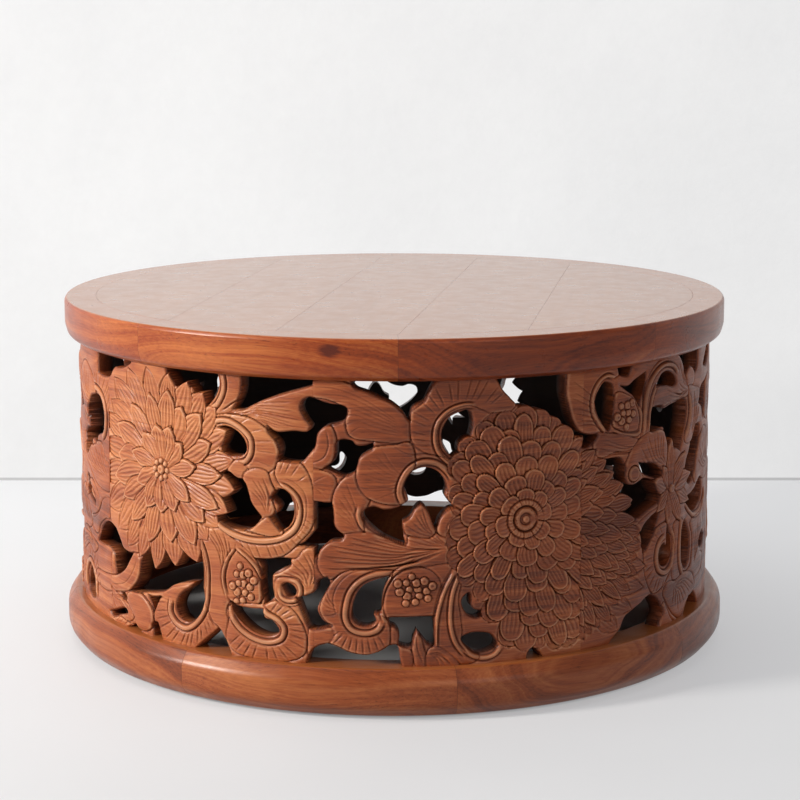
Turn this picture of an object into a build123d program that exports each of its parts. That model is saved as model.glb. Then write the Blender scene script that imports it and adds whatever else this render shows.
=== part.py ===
"""Round drum coffee table in solid wood, with a pierced and carved wall.

The wall is eight coopered panels, each glued up from three horizontal planks, cut through and
carved. It stands on a ring of eight bricklaid base segments and carries a thick top: five field
boards let into the rebate of an eight-piece rounded rim. Loose tenons hold every butt joint.
Millimetres, +Z up, origin on the floor under the centre of the table. Angles are taken from the
front (-Y) and grow towards +X.
"""

from build123d import *
import math
import os

os.makedirs("parts", exist_ok=True)

# ---- driving dimensions ------------------------------------------------------------------
TOP_RADIUS = 406.5  # widest point of the rounded rim
TABLE_HEIGHT = 419.0
RIM_OVERHANG = 14.5  # how far the rim stands out past the high points of the carving
BASE_OVERHANG = 17.0  # and the base
WALL = 22.0  # thickness of the carved wall

SECTORS = 8  # panels in the wall, segments in the rim and in the base
DESIGNS = 4  # different carved panels; the round repeats them

TOP_THICKNESS = 47.0
TOP_TURN = -9.0  # rim joints, against the panel centres
RIM_WIDTH = 50.0
RIM_LEDGE = 12.0  # rebate that the field boards lie on
RIM_TOP_INSET = 2.0  # how far the arris comes in at the top face
RIM_TOP_EASE = 4.0  # and how far down the outer face it reaches
RIM_FOOT_INSET = 11.0  # the rounded lower edge, in from the outer face
RIM_FOOT_EASE = 17.0  # and up from the underside

BOARD_THICKNESS = 22.0
BOARD_JOINTS = (-208.0, -73.0, 62.0, 196.0)  # edge joints between the random-width boards
BOARD_TURN = -18.5  # run of the boards, against the front
BOARD_GAP = 0.3  # round the field, inside the rim's rebate

BATTEN_WIDTH = 58.0
BATTEN_THICKNESS = 20.0
BATTEN_SPREAD = 170.0  # each batten's centre line from the middle of the table
BATTEN_END_GAP = 8.0  # between a batten's end and the rim

BASE_HEIGHT = 53.0
BASE_WIDTH = 45.0
BASE_ROUND = 9.0  # how far its eased edges come in
BASE_EASE = 15.0  # and how far they reach along the outer face

PAD_LENGTH = 34.0  # felt pads under the base segments
PAD_WIDTH = 20.0
PAD_HEIGHT = 4.0
PAD_MARGIN = 1.0  # from the inner face of the base, so that no pad shows from outside

TENON_THICKNESS = 8.0
TENON_LENGTH = 30.0  # along the joint
TENON_DEPTH = 24.0  # across the joint, half in each piece
FLAT_TENON_WIDTH = 20.0  # in the butt joints of the two rings, from inside to outside
TENON_PLAY = 0.2  # glue line round a tenon

# ---- sizes that follow -------------------------------------------------------------------
SECTOR = 360.0 / SECTORS
DRUM_RADIUS = TOP_RADIUS - RIM_OVERHANG
BASE_RADIUS = DRUM_RADIUS + BASE_OVERHANG
DRUM_INSIDE = DRUM_RADIUS - WALL
WALL_LINE = DRUM_RADIUS - WALL / 2
BASE_TOP = PAD_HEIGHT + BASE_HEIGHT
TOP_UNDERSIDE = TABLE_HEIGHT - TOP_THICKNESS
PANEL_HEIGHT = TOP_UNDERSIDE - BASE_TOP
PANEL_CHORD = 2 * DRUM_RADIUS * math.sin(math.radians(SECTOR / 2))
REBATE_RADIUS = TOP_RADIUS - RIM_WIDTH + RIM_LEDGE
FIELD_RADIUS = REBATE_RADIUS - BOARD_GAP
LEDGE_HEIGHT = TABLE_HEIGHT - BOARD_THICKNESS
BASE_INSIDE = BASE_RADIUS - BASE_WIDTH
BASE_LINE = BASE_RADIUS - BASE_WIDTH / 2
PAD_LINE = BASE_INSIDE + PAD_MARGIN + PAD_WIDTH / 2
RIM_LINE = (REBATE_RADIUS + TOP_RADIUS - RIM_FOOT_INSET) / 2
OVERCUT = 20.0  # how far a cutter runs past what it cuts
QUARTER = 1 - math.sqrt(0.5)  # where a quarter round is half way turned, as a share of its size

# ---- the carver's templates --------------------------------------------------------------
# Each panel is marked out on a flat sheet of this size: x from the panel's centre line, y up
# from its lower edge. It holds the corners of the openings as they are sawn, straight from
# corner to corner, before the carver rounds them; an opening that runs out of the panel goes
# past the sheet's edge. The sheet is scaled to the panel.
SHEET_WIDTH = 303.0
SHEET_HEIGHT = 315.0
SEAM_Y = (45, 245)  # glue seams between a panel's three planks

SHEETS = (
    # first panel: round the pointed flower, the S-scroll and the two fluted C-scrolls
    (
        [(-38, 320), (-30, 288), (22, 273), (38, 296), (33, 320)],
        [(72, 320), (62, 279), (110, 298), (160, 307), (160, 320)],
        [(35, 246), (58, 260), (78, 246), (78, 230), (44, 230)],
        [(160, 242), (134, 224), (114, 224), (101, 260), (149, 264), (138, 281), (160, 296)],
        [(52, 206), (74, 199), (97, 160), (86, 147), (62, 141), (36, 151)],
        [(105, 183), (123, 190), (130, 160), (117, 146)],
        [(96, 115), (130, 117), (105, 97), (92, 62)],
        [(136, 64), (160, 80), (160, 38), (146, 42)],
        [(8, 121), (17, 100), (15, 76), (-103, 46), (-78, 84), (-20, 92)],
        [(-160, 116), (-102, 88), (-112, 69), (-140, 57), (-160, 85)],
        [(-26, 37), (-14, 60), (12, 66), (6, 42), (-16, 28)],
        [(0, -5), (37, 27), (52, -5)],
        [(54, 58), (64, 33), (85, 24), (110, 29), (107, 46), (88, 58)],
    ),
    # second panel: smooth leaves, a keyhole scroll, a seed pod and half of the dahlia
    (
        [(-114, 320), (-112, 308), (-50, 277), (-47, 290), (-30, 296), (-18, 320)],
        [(-160, 296), (-118, 286), (-117, 272), (-141, 263), (-160, 242)],
        [(-129, 248), (-90, 246), (-104, 232), (-107, 216), (-127, 205), (-140, 213)],
        [(-57, 190), (-52, 212), (-34, 220), (-15, 212), (-8, 190), (0, 176), (-22, 156),
         (-34, 176), (-55, 161), (-57, 138), (-93, 170), (-57, 175)],
        [(-160, 181), (-134, 180), (-120, 142), (-148, 122), (-160, 120)],
        [(-160, 92), (-137, 94), (-147, 62), (-132, 44), (-160, 38)],
        [(-112, 66), (-105, 84), (-72, 99), (-86, 54), (-106, 47)],
        [(-71, 55), (-25, 56), (-23, 22), (-42, 38), (-60, 22)],
        [(-160, -5), (-160, 12), (-70, 23), (-64, -5)],
        [(12, 281), (-12, 270), (-15, 248), (2, 226), (20, 252)],
        [(43, 320), (66, 284), (144, 236), (131, 290), (133, 320)],
    ),
    # third panel: the other half of the dahlia, a seed pod, the small lily and its stems
    (
        [(-94, 292), (-54, 301), (-55, 282), (-64, 268)],
        [(-43, 259), (40, 261), (46, 226), (31, 205), (-4, 219), (-9, 233), (-43, 233)],
        [(-126, 211), (-91, 203), (-85, 180), (-39, 178), (-23, 151), (-80, 130)],
        [(-54, 96), (-50, 126), (-22, 134)],
        [(-3, 119), (10, 84), (-8, 70), (-25, 86)],
        [(46, 113), (65, 88), (52, 55), (38, 66)],
        [(20, 320), (41, 288), (76, 286), (82, 320)],
        [(76, 219), (97, 221), (100, 205), (70, 160), (50, 166)],
        [(48, 140), (108, 154), (117, 140), (80, 118)],
        [(-97, -5), (-93, 24), (-36, 41), (-20, -5)],
    ),
    # fourth panel: ring scrolls and stems that run out to both neighbours
    (
        [(119, 285), (160, 289), (160, 320), (119, 320)],
        [(90, 246), (132, 257), (136, 222), (116, 217)],
        [(108, 86), (130, 108), (160, 116), (160, 85)],
        [(-98, 250), (-78, 276), (-54, 258), (-72, 236)],
        [(-66, 320), (-50, 297), (14, 301), (28, 320)],
        [(-22, 234), (6, 262), (44, 240)],
        [(-104, 118), (-74, 150), (-34, 128)],
        [(-130, -5), (-84, 36), (-64, -5)],
    ),
)
# where each panel is solid enough for its loose tenons, on the sheet: in the upper edge, in
# the lower edge, and the height of those in its side edges
HEAD_TENON_X = (-84, 22, -18, 62)
FOOT_TENON_X = (98, 122, 24, 98)
SIDE_TENON_Y = 208


def at_angle(angle):
    """Upright plane through the centre line: x to the right, y up, facing out at an angle."""
    return Plane.XZ.rotated((0, 0, angle))


def on_sheet(point):
    """A point of a template, as it falls on the panel's chord plane."""
    x = point[0] * PANEL_CHORD / SHEET_WIDTH
    return (x, BASE_TOP + point[1] * PANEL_HEIGHT / SHEET_HEIGHT)


def sheet_angle(x):
    """How far round from its panel's centre a sheet's x lies on the wall."""
    return math.degrees(math.asin(x * PANEL_CHORD / SHEET_WIDTH / DRUM_RADIUS))


# loose tenons: name, and for each joint its plane and its size along x, up y and out z
flat = (TENON_DEPTH, TENON_THICKNESS, FLAT_TENON_WIDTH)
upright = (TENON_LENGTH, TENON_DEPTH, TENON_THICKNESS)
edgewise = (TENON_DEPTH, TENON_LENGTH, TENON_THICKNESS)
panel_angles = [(i - 1) * SECTOR for i in range(SECTORS)]  # the second one is the front
base_angles = [(i + 0.5) * SECTOR for i in range(SECTORS)]
rim_angles = [TOP_TURN + (i + 0.5) * SECTOR for i in range(SECTORS)]
side_height = on_sheet((0, SIDE_TENON_Y))[1]
rim_tenon_height = TOP_UNDERSIDE + 0.55 * TOP_THICKNESS
base_tenon_height = PAD_HEIGHT + BASE_HEIGHT / 2
head_angles = [a + sheet_angle(HEAD_TENON_X[i % DESIGNS]) for i, a in enumerate(panel_angles)]
foot_angles = [a + sheet_angle(FOOT_TENON_X[i % DESIGNS]) for i, a in enumerate(panel_angles)]
TENONS = {
    "rim_tenons": ([a - SECTOR / 2 for a in rim_angles], RIM_LINE, rim_tenon_height, flat),
    "base_tenons": ([a - SECTOR / 2 for a in base_angles], BASE_LINE, base_tenon_height, flat),
    "panel_tenons": ([a - SECTOR / 2 for a in panel_angles], WALL_LINE, side_height, edgewise),
    "head_tenons": (head_angles, WALL_LINE, TOP_UNDERSIDE, upright),
    "foot_tenons": (foot_angles, WALL_LINE, BASE_TOP, upright),
}


def turn_between(one, other):
    """The smaller angle from one direction to another."""
    return abs((one - other + 180) % 360 - 180)


def cut_mortises(piece_angle, *names):
    """Pockets for the named tenons that reach into the sector being built."""
    for name in names:
        angles, radius, height, sizes = TENONS[name]
        seats = [
            at_angle(angle).offset(radius).location * Location((0, height, 0))
            for angle in angles
            if turn_between(angle, piece_angle) < SECTOR / 2 + 1
        ]
        for seat in seats:
            with Locations(seat):
                Box(*(size + 2 * TENON_PLAY for size in sizes), mode=Mode.SUBTRACT)


def save(piece, name):
    piece.label = name
    export_step(piece, f"parts/{name}.step")
    print(name, len(piece.solids()), round(piece.volume / 1000), "cm3")


# ---- carved wall -------------------------------------------------------------------------
lower_seam, upper_seam = (on_sheet((0, y))[1] for y in SEAM_Y)
plank_heights = {
    "lower": (BASE_TOP, lower_seam),
    "middle": (lower_seam, upper_seam),
    "upper": (upper_seam, TOP_UNDERSIDE),
}


def build_plank(design, angle, low, high):
    """One plank of a panel: a curved board with the sheet's openings sawn through it."""
    with BuildPart() as plank:
        with BuildSketch(Plane.XY.offset(low)):
            with BuildLine():
                far = CenterArc((0, 0), DRUM_RADIUS, angle - 90 - SECTOR / 2, SECTOR)
                near = CenterArc((0, 0), DRUM_INSIDE, angle - 90 - SECTOR / 2, SECTOR)
                Line(far @ 0, near @ 0)
                Line(far @ 1, near @ 1)
            make_face()
        extrude(amount=high - low)
        with BuildSketch(at_angle(angle).offset(DRUM_INSIDE / 2)):
            for corners in SHEETS[design]:
                with BuildLine():
                    Polyline(*(on_sheet(corner) for corner in corners), close=True)
                make_face()
        extrude(amount=DRUM_INSIDE / 2 + WALL + OVERCUT, mode=Mode.SUBTRACT)
        cut_mortises(angle, "panel_tenons", "head_tenons", "foot_tenons")
    return plank


for i, angle in enumerate(panel_angles):
    for height, (low, high) in plank_heights.items():
        plank = build_plank(i % DESIGNS, angle, low, high)
        save(plank.part, f"panel_{i + 1}_{height}")

# ---- base ring ---------------------------------------------------------------------------
base_profile = (
    (BASE_RADIUS - BASE_ROUND, BASE_TOP),
    (BASE_INSIDE, BASE_TOP),
    (BASE_INSIDE, PAD_HEIGHT),
    (BASE_RADIUS - BASE_ROUND, PAD_HEIGHT),
    (BASE_RADIUS, PAD_HEIGHT + BASE_EASE),
    (BASE_RADIUS, BASE_TOP - BASE_EASE),
)
rim_profile = (
    (TOP_RADIUS - RIM_TOP_INSET, TABLE_HEIGHT),
    (REBATE_RADIUS, TABLE_HEIGHT),
    (REBATE_RADIUS, LEDGE_HEIGHT),
    (TOP_RADIUS - RIM_WIDTH, LEDGE_HEIGHT),
    (TOP_RADIUS - RIM_WIDTH, TOP_UNDERSIDE),
    (TOP_RADIUS - RIM_FOOT_INSET, TOP_UNDERSIDE),
    (TOP_RADIUS - QUARTER * RIM_FOOT_INSET, TOP_UNDERSIDE + QUARTER * RIM_FOOT_EASE),
    (TOP_RADIUS, TOP_UNDERSIDE + RIM_FOOT_EASE),
    (TOP_RADIUS, TABLE_HEIGHT - RIM_TOP_EASE),
)


def build_segments(profile, angles, *tenons):
    """The equal segments of a ring, side by side, with a profile in radius and height."""
    segments = []
    for angle in angles:
        with BuildPart() as segment:
            with BuildSketch(at_angle(angle - 90 - SECTOR / 2)):
                with BuildLine():
                    Polyline(*profile, close=True)
                make_face()
            revolve(axis=Axis.Z, revolution_arc=SECTOR)
            cut_mortises(angle, *tenons)
        segments += segment.solids()
    return Compound(segments)


save(build_segments(base_profile, base_angles, "base_tenons", "foot_tenons"), "base_segments")

with BuildPart() as pads:
    for angle in base_angles:
        with BuildSketch(Plane.XY.rotated((0, 0, angle))):
            with Locations((0, -PAD_LINE)):
                Rectangle(PAD_LENGTH, PAD_WIDTH)
        extrude(amount=PAD_HEIGHT)
save(pads.part, "felt_pads")

# ---- top ---------------------------------------------------------------------------------
save(build_segments(rim_profile, rim_angles, "rim_tenons", "head_tenons"), "rim_segments")

board_edges = (-FIELD_RADIUS, *BOARD_JOINTS, FIELD_RADIUS)
for i, (left, right) in enumerate(zip(board_edges, board_edges[1:])):
    with BuildPart() as board:
        with BuildSketch(Plane.XY.offset(LEDGE_HEIGHT).rotated((0, 0, BOARD_TURN))):
            Circle(FIELD_RADIUS)
            with Locations(((left + right) / 2, 0)):
                Rectangle(right - left, 2 * FIELD_RADIUS, mode=Mode.INTERSECT)
        extrude(amount=BOARD_THICKNESS)
    save(board.part, f"top_board_{i + 1}")

for i, offset in enumerate((-BATTEN_SPREAD, BATTEN_SPREAD)):
    reach = TOP_RADIUS - RIM_WIDTH - BATTEN_END_GAP
    half = math.sqrt(reach**2 - (BATTEN_SPREAD + BATTEN_WIDTH / 2) ** 2)
    with BuildPart() as batten:
        with BuildSketch(
            Plane.XY.offset(LEDGE_HEIGHT - BATTEN_THICKNESS).rotated((0, 0, BOARD_TURN))
        ):
            with Locations((0, offset)):
                Rectangle(2 * half, BATTEN_WIDTH)
        extrude(amount=BATTEN_THICKNESS)
    save(batten.part, f"batten_{i + 1}")

# ---- loose tenons ------------------------------------------------------------------------
for name, (angles, radius, height, sizes) in TENONS.items():
    with BuildPart() as tenons:
        for angle in angles:
            with Locations(at_angle(angle).offset(radius).location * Location((0, height, 0))):
                Box(*sizes)
    save(tenons.part, name)
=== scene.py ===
import math

import bpy
import numpy as np
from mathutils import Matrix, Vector
from mathutils.geometry import delaunay_2d_cdt


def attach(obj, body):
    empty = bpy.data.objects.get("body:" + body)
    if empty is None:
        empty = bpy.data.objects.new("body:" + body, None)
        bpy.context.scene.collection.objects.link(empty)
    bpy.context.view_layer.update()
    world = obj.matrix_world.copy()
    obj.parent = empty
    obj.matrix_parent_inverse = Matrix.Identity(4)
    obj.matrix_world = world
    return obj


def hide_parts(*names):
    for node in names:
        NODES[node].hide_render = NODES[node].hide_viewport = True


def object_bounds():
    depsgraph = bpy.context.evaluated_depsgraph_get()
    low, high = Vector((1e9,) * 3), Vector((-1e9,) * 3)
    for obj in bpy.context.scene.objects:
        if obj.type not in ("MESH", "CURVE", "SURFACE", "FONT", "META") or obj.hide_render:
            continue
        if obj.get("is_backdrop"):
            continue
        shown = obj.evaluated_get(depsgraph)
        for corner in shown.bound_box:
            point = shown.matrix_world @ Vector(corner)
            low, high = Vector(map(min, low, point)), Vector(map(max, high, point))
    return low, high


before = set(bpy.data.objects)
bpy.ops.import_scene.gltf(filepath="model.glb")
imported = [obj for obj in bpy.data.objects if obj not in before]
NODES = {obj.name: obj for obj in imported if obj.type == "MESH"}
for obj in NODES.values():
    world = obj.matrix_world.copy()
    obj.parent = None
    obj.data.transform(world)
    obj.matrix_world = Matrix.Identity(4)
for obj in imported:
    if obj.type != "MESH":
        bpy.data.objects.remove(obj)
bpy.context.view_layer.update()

# Sizes of the table in millimetres, as the CAD has them
EIGHTH = 45  # degrees of a panel of the wall and of a segment of a ring
FRONT_PANEL = 2  # the panel that faces -Y
DRUM_RADIUS, DRUM_INSIDE = 392.0, 370.0
CHORD = 2 * DRUM_RADIUS * math.sin(math.radians(EIGHTH / 2))
FOOT, LOW_SEAM, HIGH_SEAM, HEAD = 57.0, 102.0, 302.0, 372.0
PLANKS = (("lower", FOOT, LOW_SEAM), ("middle", LOW_SEAM, HIGH_SEAM), ("upper", HIGH_SEAM, HEAD))
TOP_TURN, BOARD_TURN = -9.0, -18.5
BOARD_JOINTS = (-208.0, -73.0, 62.0, 196.0)
FIELD_RADIUS, BOARD_LOW, TOP = 368.2, 397.0, 419.0
RIM_PROFILE = (
    (368.3, 419, 0.3), (368.3, 397, 0.4), (356.5, 397, 0.8), (356.5, 372, 1.2),
    (395.5, 372, 3.0), (403.3, 377, 8.0), (406.5, 389, 14.0), (406.5, 415, 3.0), (404.5, 419, 2.6),
)
BASE_PROFILE = (
    (364, 57, 1.0), (364, 4, 1.5), (398, 4, 6.0), (409, 17, 16.0), (409, 43, 14.0), (399, 57, 5.0),
)

# The ornament is drawn on one long sheet, s to the right and z up, that goes once round four panels
SHEET_WIDTH = 303.0
PERIOD = 4 * SHEET_WIDTH
CENTRES = tuple(-251.5 + k * SHEET_WIDTH for k in range(4))
FLOWER, DAHLIA, LILY = (-297, 254), (133.5, 214.5), (357, 217)
BLANK_EDGE = 40.0  # how far the wood's edge counts as away where no opening is near
GROUND, GROUND_RISE = -3.6, 1.5  # height of the ground at an opening, and how much it rises away from it
DEEPEST = -9
NEAREST = 0.15  # no point of the sheet counts as nearer than this to the wood's edge
BACK_STEP = 12.0  # from point to point on the plain back of a plank
RING_MIDDLE = 380  # about the middle of a ring's width, where the grain is counted from
EASED = 0.5 / 390  # radians, the eased end of a segment: half a millimetre
GOLDEN_ANGLE = 2.39996
TONES = (0.62, 0.42, 0.38, 0.45)  # how light the wood of each panel is


def curve(points, closed=False, steps=6):
    """A smooth line through points; one with a third number is a corner."""
    p = np.array([q[:2] for q in points for _ in range(len(q) - 1)], float)
    n = len(p)
    first = np.arange(n if closed else n - 1)[:, None] + np.array([-1, 0, 1, 2])
    a, b, c, d = (p[(first % n if closed else np.clip(first, 0, n - 1))[:, i]] for i in range(4))
    keep = np.abs(b - c).sum(1) > 0
    a, b, c, d = (v[keep][:, None] for v in (a, b, c, d))
    t = np.linspace(0, 1, steps, endpoint=False)[None, :, None]
    line = b + 0.5 * ((c - a) * t + (2 * a - 5 * b + 4 * c - d) * t**2 + (3 * b - a - 3 * c + d) * t**3)
    line = line.reshape(-1, 2)
    return line if closed else np.vstack([line, p[-1:]])


def measure(line, X, Z, closed):
    """Distance to a line, the place along it in mm, and which points a closed one holds."""
    best, along = np.full(X.shape, 1e9), np.zeros(X.shape)
    held = np.zeros(X.shape, bool)
    ends = np.roll(line, -1, 0) if closed else line[1:]
    total = 0.0
    for (x0, z0), (x1, z1) in zip(line, ends):
        dx, dz = x1 - x0, z1 - z0
        size = dx * dx + dz * dz
        if size < 1e-9:
            continue
        t = np.clip(((X - x0) * dx + (Z - z0) * dz) / size, 0, 1)
        d = (X - x0 - t * dx) ** 2 + (Z - z0 - t * dz) ** 2
        nearer = d < best
        best = np.where(nearer, d, best)
        along = np.where(nearer, total + t * math.sqrt(size), along)
        total += math.sqrt(size)
        if closed and z0 != z1:
            held ^= ((z0 > Z) != (z1 > Z)) & (X < x0 + (Z - z0) * dx / dz)
    return np.sqrt(best), along, held, total


def soft(x):
    """Quarter round: 0 at 0, 1 from 1 on."""
    return np.sqrt(1 - (1 - np.clip(x, 0, 1)) ** 2)


def bump(x):
    """A bell: 1 at 0, and nearly nothing from 2 on."""
    return np.exp(-(x**2))


class Sheet:
    """One panel of the drawing: H is the height of its face and D how far the wood's edge is."""

    def __init__(self, design, step=0.8):
        self.design, self.centre, self.step = design, CENTRES[design], step
        self.x = self.centre + np.linspace(-SHEET_WIDTH / 2, SHEET_WIDTH / 2, round(SHEET_WIDTH / step) + 1)
        rows = [np.linspace(a, b, round((b - a) / step) + 1)[:-1] for _, a, b in PLANKS]
        self.z = np.concatenate([*rows, (HEAD,)])
        self.X, self.Z = np.meshgrid(self.x, self.z)
        self.D = np.full(self.X.shape, BLANK_EDGE)
        self.H = np.zeros(self.X.shape)

    def follow(self, drawing):
        """Follows a drawing. A stroke says its panels, its tool, numbers and points (s,z in mm). A ! makes a
        point a corner, / begins a second line of points, a line that starts with a space goes on with the
        stroke, and # begins a remark."""
        tools = {
            "saw": self.saw, "dome": self.dome, "tip": self.tip, "cut": self.cut, "comb": self.comb,
            "bead": self.bead, "fan": self.fan, "flutes": self.flutes, "ball": self.ball, "pod": self.pod,
        }
        for stroke in drawing.strip().replace("\n ", " ").split("\n"):
            panels, tool, *words = stroke.split()
            if str(self.design + 1) not in panels:
                continue
            numbers, lines = [], [[]]
            for word in words:
                if word == "/":
                    lines.append([])
                elif "," in word:
                    x, z = map(float, word.rstrip("!").split(","))
                    lines[-1].append((x, z, 1) if word.endswith("!") else (x, z))
                else:
                    numbers.append(float(word))
            tools[tool](*lines, *numbers)

    def place(self, points):
        """The same points, a whole round of the drawing on if that is nearer."""
        middle = sum(q[0] for q in points) / len(points)
        shift = round((self.centre - middle) / PERIOD) * PERIOD
        return [(q[0] + shift, *q[1:]) for q in points]

    def window(self, line, margin):
        """The part of the sheet round a line, or None where the line misses the sheet."""
        low, high = line.min(0) - margin, line.max(0) + margin
        i0, i1 = np.searchsorted(self.x, (low[0], high[0]))
        j0, j1 = np.searchsorted(self.z, (low[1], high[1]))
        return (slice(j0, j1), slice(i0, i1)) if i1 > i0 and j1 > j0 else None

    def near(self, points, margin, closed=False):
        """The part of the sheet round a smooth line through points, and what measure finds there."""
        line = curve(self.place(points), closed)
        w = self.window(line, margin)
        return (w, *measure(line, self.X[w], self.Z[w], closed)) if w else None

    def finish(self):
        """The hand's unevenness, the limits of the cut, and how hollow each spot is."""
        X, Z = self.X, self.Z
        self.H += 0.12 * np.sin(X * 0.21 + 1.3 * np.sin(Z * 0.13)) * np.sin(Z * 0.17 + 0.9 * np.sin(X * 0.09))
        seam = np.minimum(abs(Z - LOW_SEAM), abs(Z - HIGH_SEAM))
        self.H -= 0.25 * bump(np.minimum(SHEET_WIDTH / 2 - abs(X - self.centre), seam) / 0.8)
        self.H = np.clip(self.H, DEEPEST, 0)
        wood = self.D > 0
        self.C = np.where(wood, self.H - blur(self.H, wood, 2), 0)

    # -- what the saw does
    def saw(self, points):
        """An opening."""
        found = self.near(points, BLANK_EDGE, True)
        if found:
            w, d, _, held, _ = found
            self.D[w] = np.minimum(self.D[w], np.where(held, -d, d))

    # -- what the gouges do
    def dome(self, points, level, rise, edge=7, groove=1.5, adds=False):
        """A lobe with rounded shoulders, set off from what lies round it."""
        found = self.near(points, 8, True)
        if found:
            w, d, _, held, _ = found
            inward = np.where(held, d, -d)
            H = self.H[w] - groove * bump(np.minimum(inward, 0) / 1.5) * (inward <= 0)
            self.H[w] = np.where(inward > 0, level + rise * soft(inward / edge), H)
            if adds:
                self.D[w] = np.maximum(self.D[w], inward)

    def tip(self, points, *numbers):
        """A dome that stands out over the edge of an opening."""
        self.dome(points, *numbers, adds=True)

    def cut(self, points, width=1.3, depth=1.3):
        """A V-tool's cut that tapers out at both ends."""
        found = self.near(points, width + 1)
        if found:
            w, d, along, _, total = found
            ends = np.clip(np.minimum(along, total - along) / 6, 0.0, 1)
            self.H[w] -= depth * (0.25 + 0.75 * ends) * np.clip(1 - d / width, 0, 1)

    def comb(self, first, last, count, width, depth):
        """Cuts side by side, from one line over to another."""
        for k in range(int(count)):
            t = k / (count - 1)
            between = [(p[0] + (q[0] - p[0]) * t, p[1] + (q[1] - p[1]) * t) for p, q in zip(first, last)]
            self.cut(between, width, depth)

    def bead(self, points, width=3.0, height=1.6, groove=1.8):
        """A raised half-round rib with a groove on each side."""
        found = self.near(points, width + 4)
        if found:
            w, d, along, _, total = found
            fade = np.clip(np.minimum(along, total - along) / 8, 0, 1)
            H = self.H[w]
            ridge = height * np.sqrt(np.clip(1 - (d / width) ** 2, 0, 1))
            side = groove * bump((d - width - 0.6) / 1.1)
            self.H[w] = np.where(d < width + 4, H * (1 - fade) + fade * (H + ridge - side), H)

    def fan(self, points, bend=0.12, width=1.15, depth=1.0):
        """Veins from the first point to each of the others, and shorter ones between them."""
        root, *tips = points
        between = [((p[0] + q[0]) / 2, (p[1] + q[1]) / 2) for p, q in zip(tips, tips[1:])]
        for start, reach, ends in ((0.1, 1.0, tips), (0.3, 0.93, between)):
            for x, z in ends:
                dx, dz = x - root[0], z - root[1]
                first = (root[0] + dx * start - dz * bend * start, root[1] + dz * start + dx * bend * start)
                middle = (root[0] + dx * 0.5 - dz * bend, root[1] + dz * 0.5 + dx * bend)
                self.cut([first, middle, (root[0] + dx * reach, root[1] + dz * reach)], width, depth)

    def flutes(self, inner, outer, count, width=1.4, depth=1.2):
        """Short cuts across a band, from one of its edges to the other."""
        a, b = curve(self.place(inner)), curve(self.place(outer))
        for k in range(int(count)):
            t = (k + 0.5) / count
            p, q = a[int(t * (len(a) - 1))], b[int(t * (len(b) - 1))]
            self.cut([tuple(p), tuple(q)], width, depth)

    def ball(self, points, r, level):
        """A seed: most of a half ball, with a moat round it."""
        (x, z), = self.place(points)
        w = self.window(np.array([[x, z]]), r + 1)
        if w:
            d = np.hypot(self.X[w] - x, self.Z[w] - z)
            top = level + 0.8 * r * np.sqrt(np.clip(1 - (d / r) ** 2, 0, 1))
            moat = np.where(d < r + 0.9, np.minimum(self.H[w], level - 0.3), self.H[w])
            self.H[w] = np.where(d < r, top, moat)

    def pod(self, points, wide, tall, level=-2.8):
        """A dome full of seeds, set round the first point as a sunflower sets them."""
        middle, *outline = points
        self.dome(outline, level, 0.6, 5)
        count = round(math.pi * wide * tall / 78)
        for k in range(count):
            a, far = k * GOLDEN_ANGLE + 0.5, math.sqrt((k + 0.4) / count)
            seed = (middle[0] + wide * far * math.cos(a), middle[1] + tall * far * math.sin(a))
            self.ball([seed], 4.3 + 0.5 * math.sin(5 * k), level + 0.1)

    def petal(self, root, tip, half, level, rise, point, bowl, vein, adds, groove=1.6, lip=0.3, lean=0.0):
        """A hollowed blade with a raised lip and hatching; a point of 0 means a round tip, a lower one a
        sharper tip."""
        (x0, z0), (x1, z1) = self.place([root, tip])
        w = self.window(np.array([[x0, z0], [x1, z1]]), half + 4)
        if not w:
            return
        long = math.hypot(x1 - x0, z1 - z0)
        ax, az = (x1 - x0) / long, (z1 - z0) / long
        X, Z = self.X[w] - x0, self.Z[w] - z0
        p, q = (X * ax + Z * az) / long, -X * az + Z * ax
        if point:
            wide = half * (0.55 + 0.45 * np.clip(p / 0.5, 0, 1))
            wide = wide * (1 - np.clip((p - 0.45) / 0.55, 0, 1) ** point)
        else:
            wide = half * (0.6 + 0.4 * np.clip(p / 0.5, 0, 1))
            wide = wide * np.sqrt(1 - np.clip((p - 0.6) / 0.4, 0, 1) ** 2.4)
        inward = np.minimum(np.minimum(wide - np.abs(q), (1 - p) * long), p * long + 1)
        across = q / np.maximum(wide, 0.5)
        top = level + rise * (p - 0.5) - bowl * (1 - across**2)
        raised = lip * bump((inward - 1.3) / 0.9) * np.clip(p * 2.5 - 0.5, 0, 1)
        top += raised - 1.2 * (1 - soft(inward / 1.0))
        hatch = across + 0.12 * lean * np.sin(3 * p) + 0.04 * np.sin(11 * p + 5 * lean)
        lines = (0.5 + 0.5 * np.cos(hatch * (5 + 0.8 * lean) * math.pi)) ** 2 + 0.3 * bump(q / 0.8)
        top -= vein * lines * np.clip(p * 5, 0, 1) * np.clip((0.93 - p) * 6, 0, 1)
        H = self.H[w] - groove * bump(np.minimum(inward, 0) / 1.2) * (inward <= 0) * (p > 0.05) * (p < 1.1)
        self.H[w] = np.where(inward > 0, top, H)
        if adds:
            self.D[w] = np.maximum(self.D[w], inward)

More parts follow.
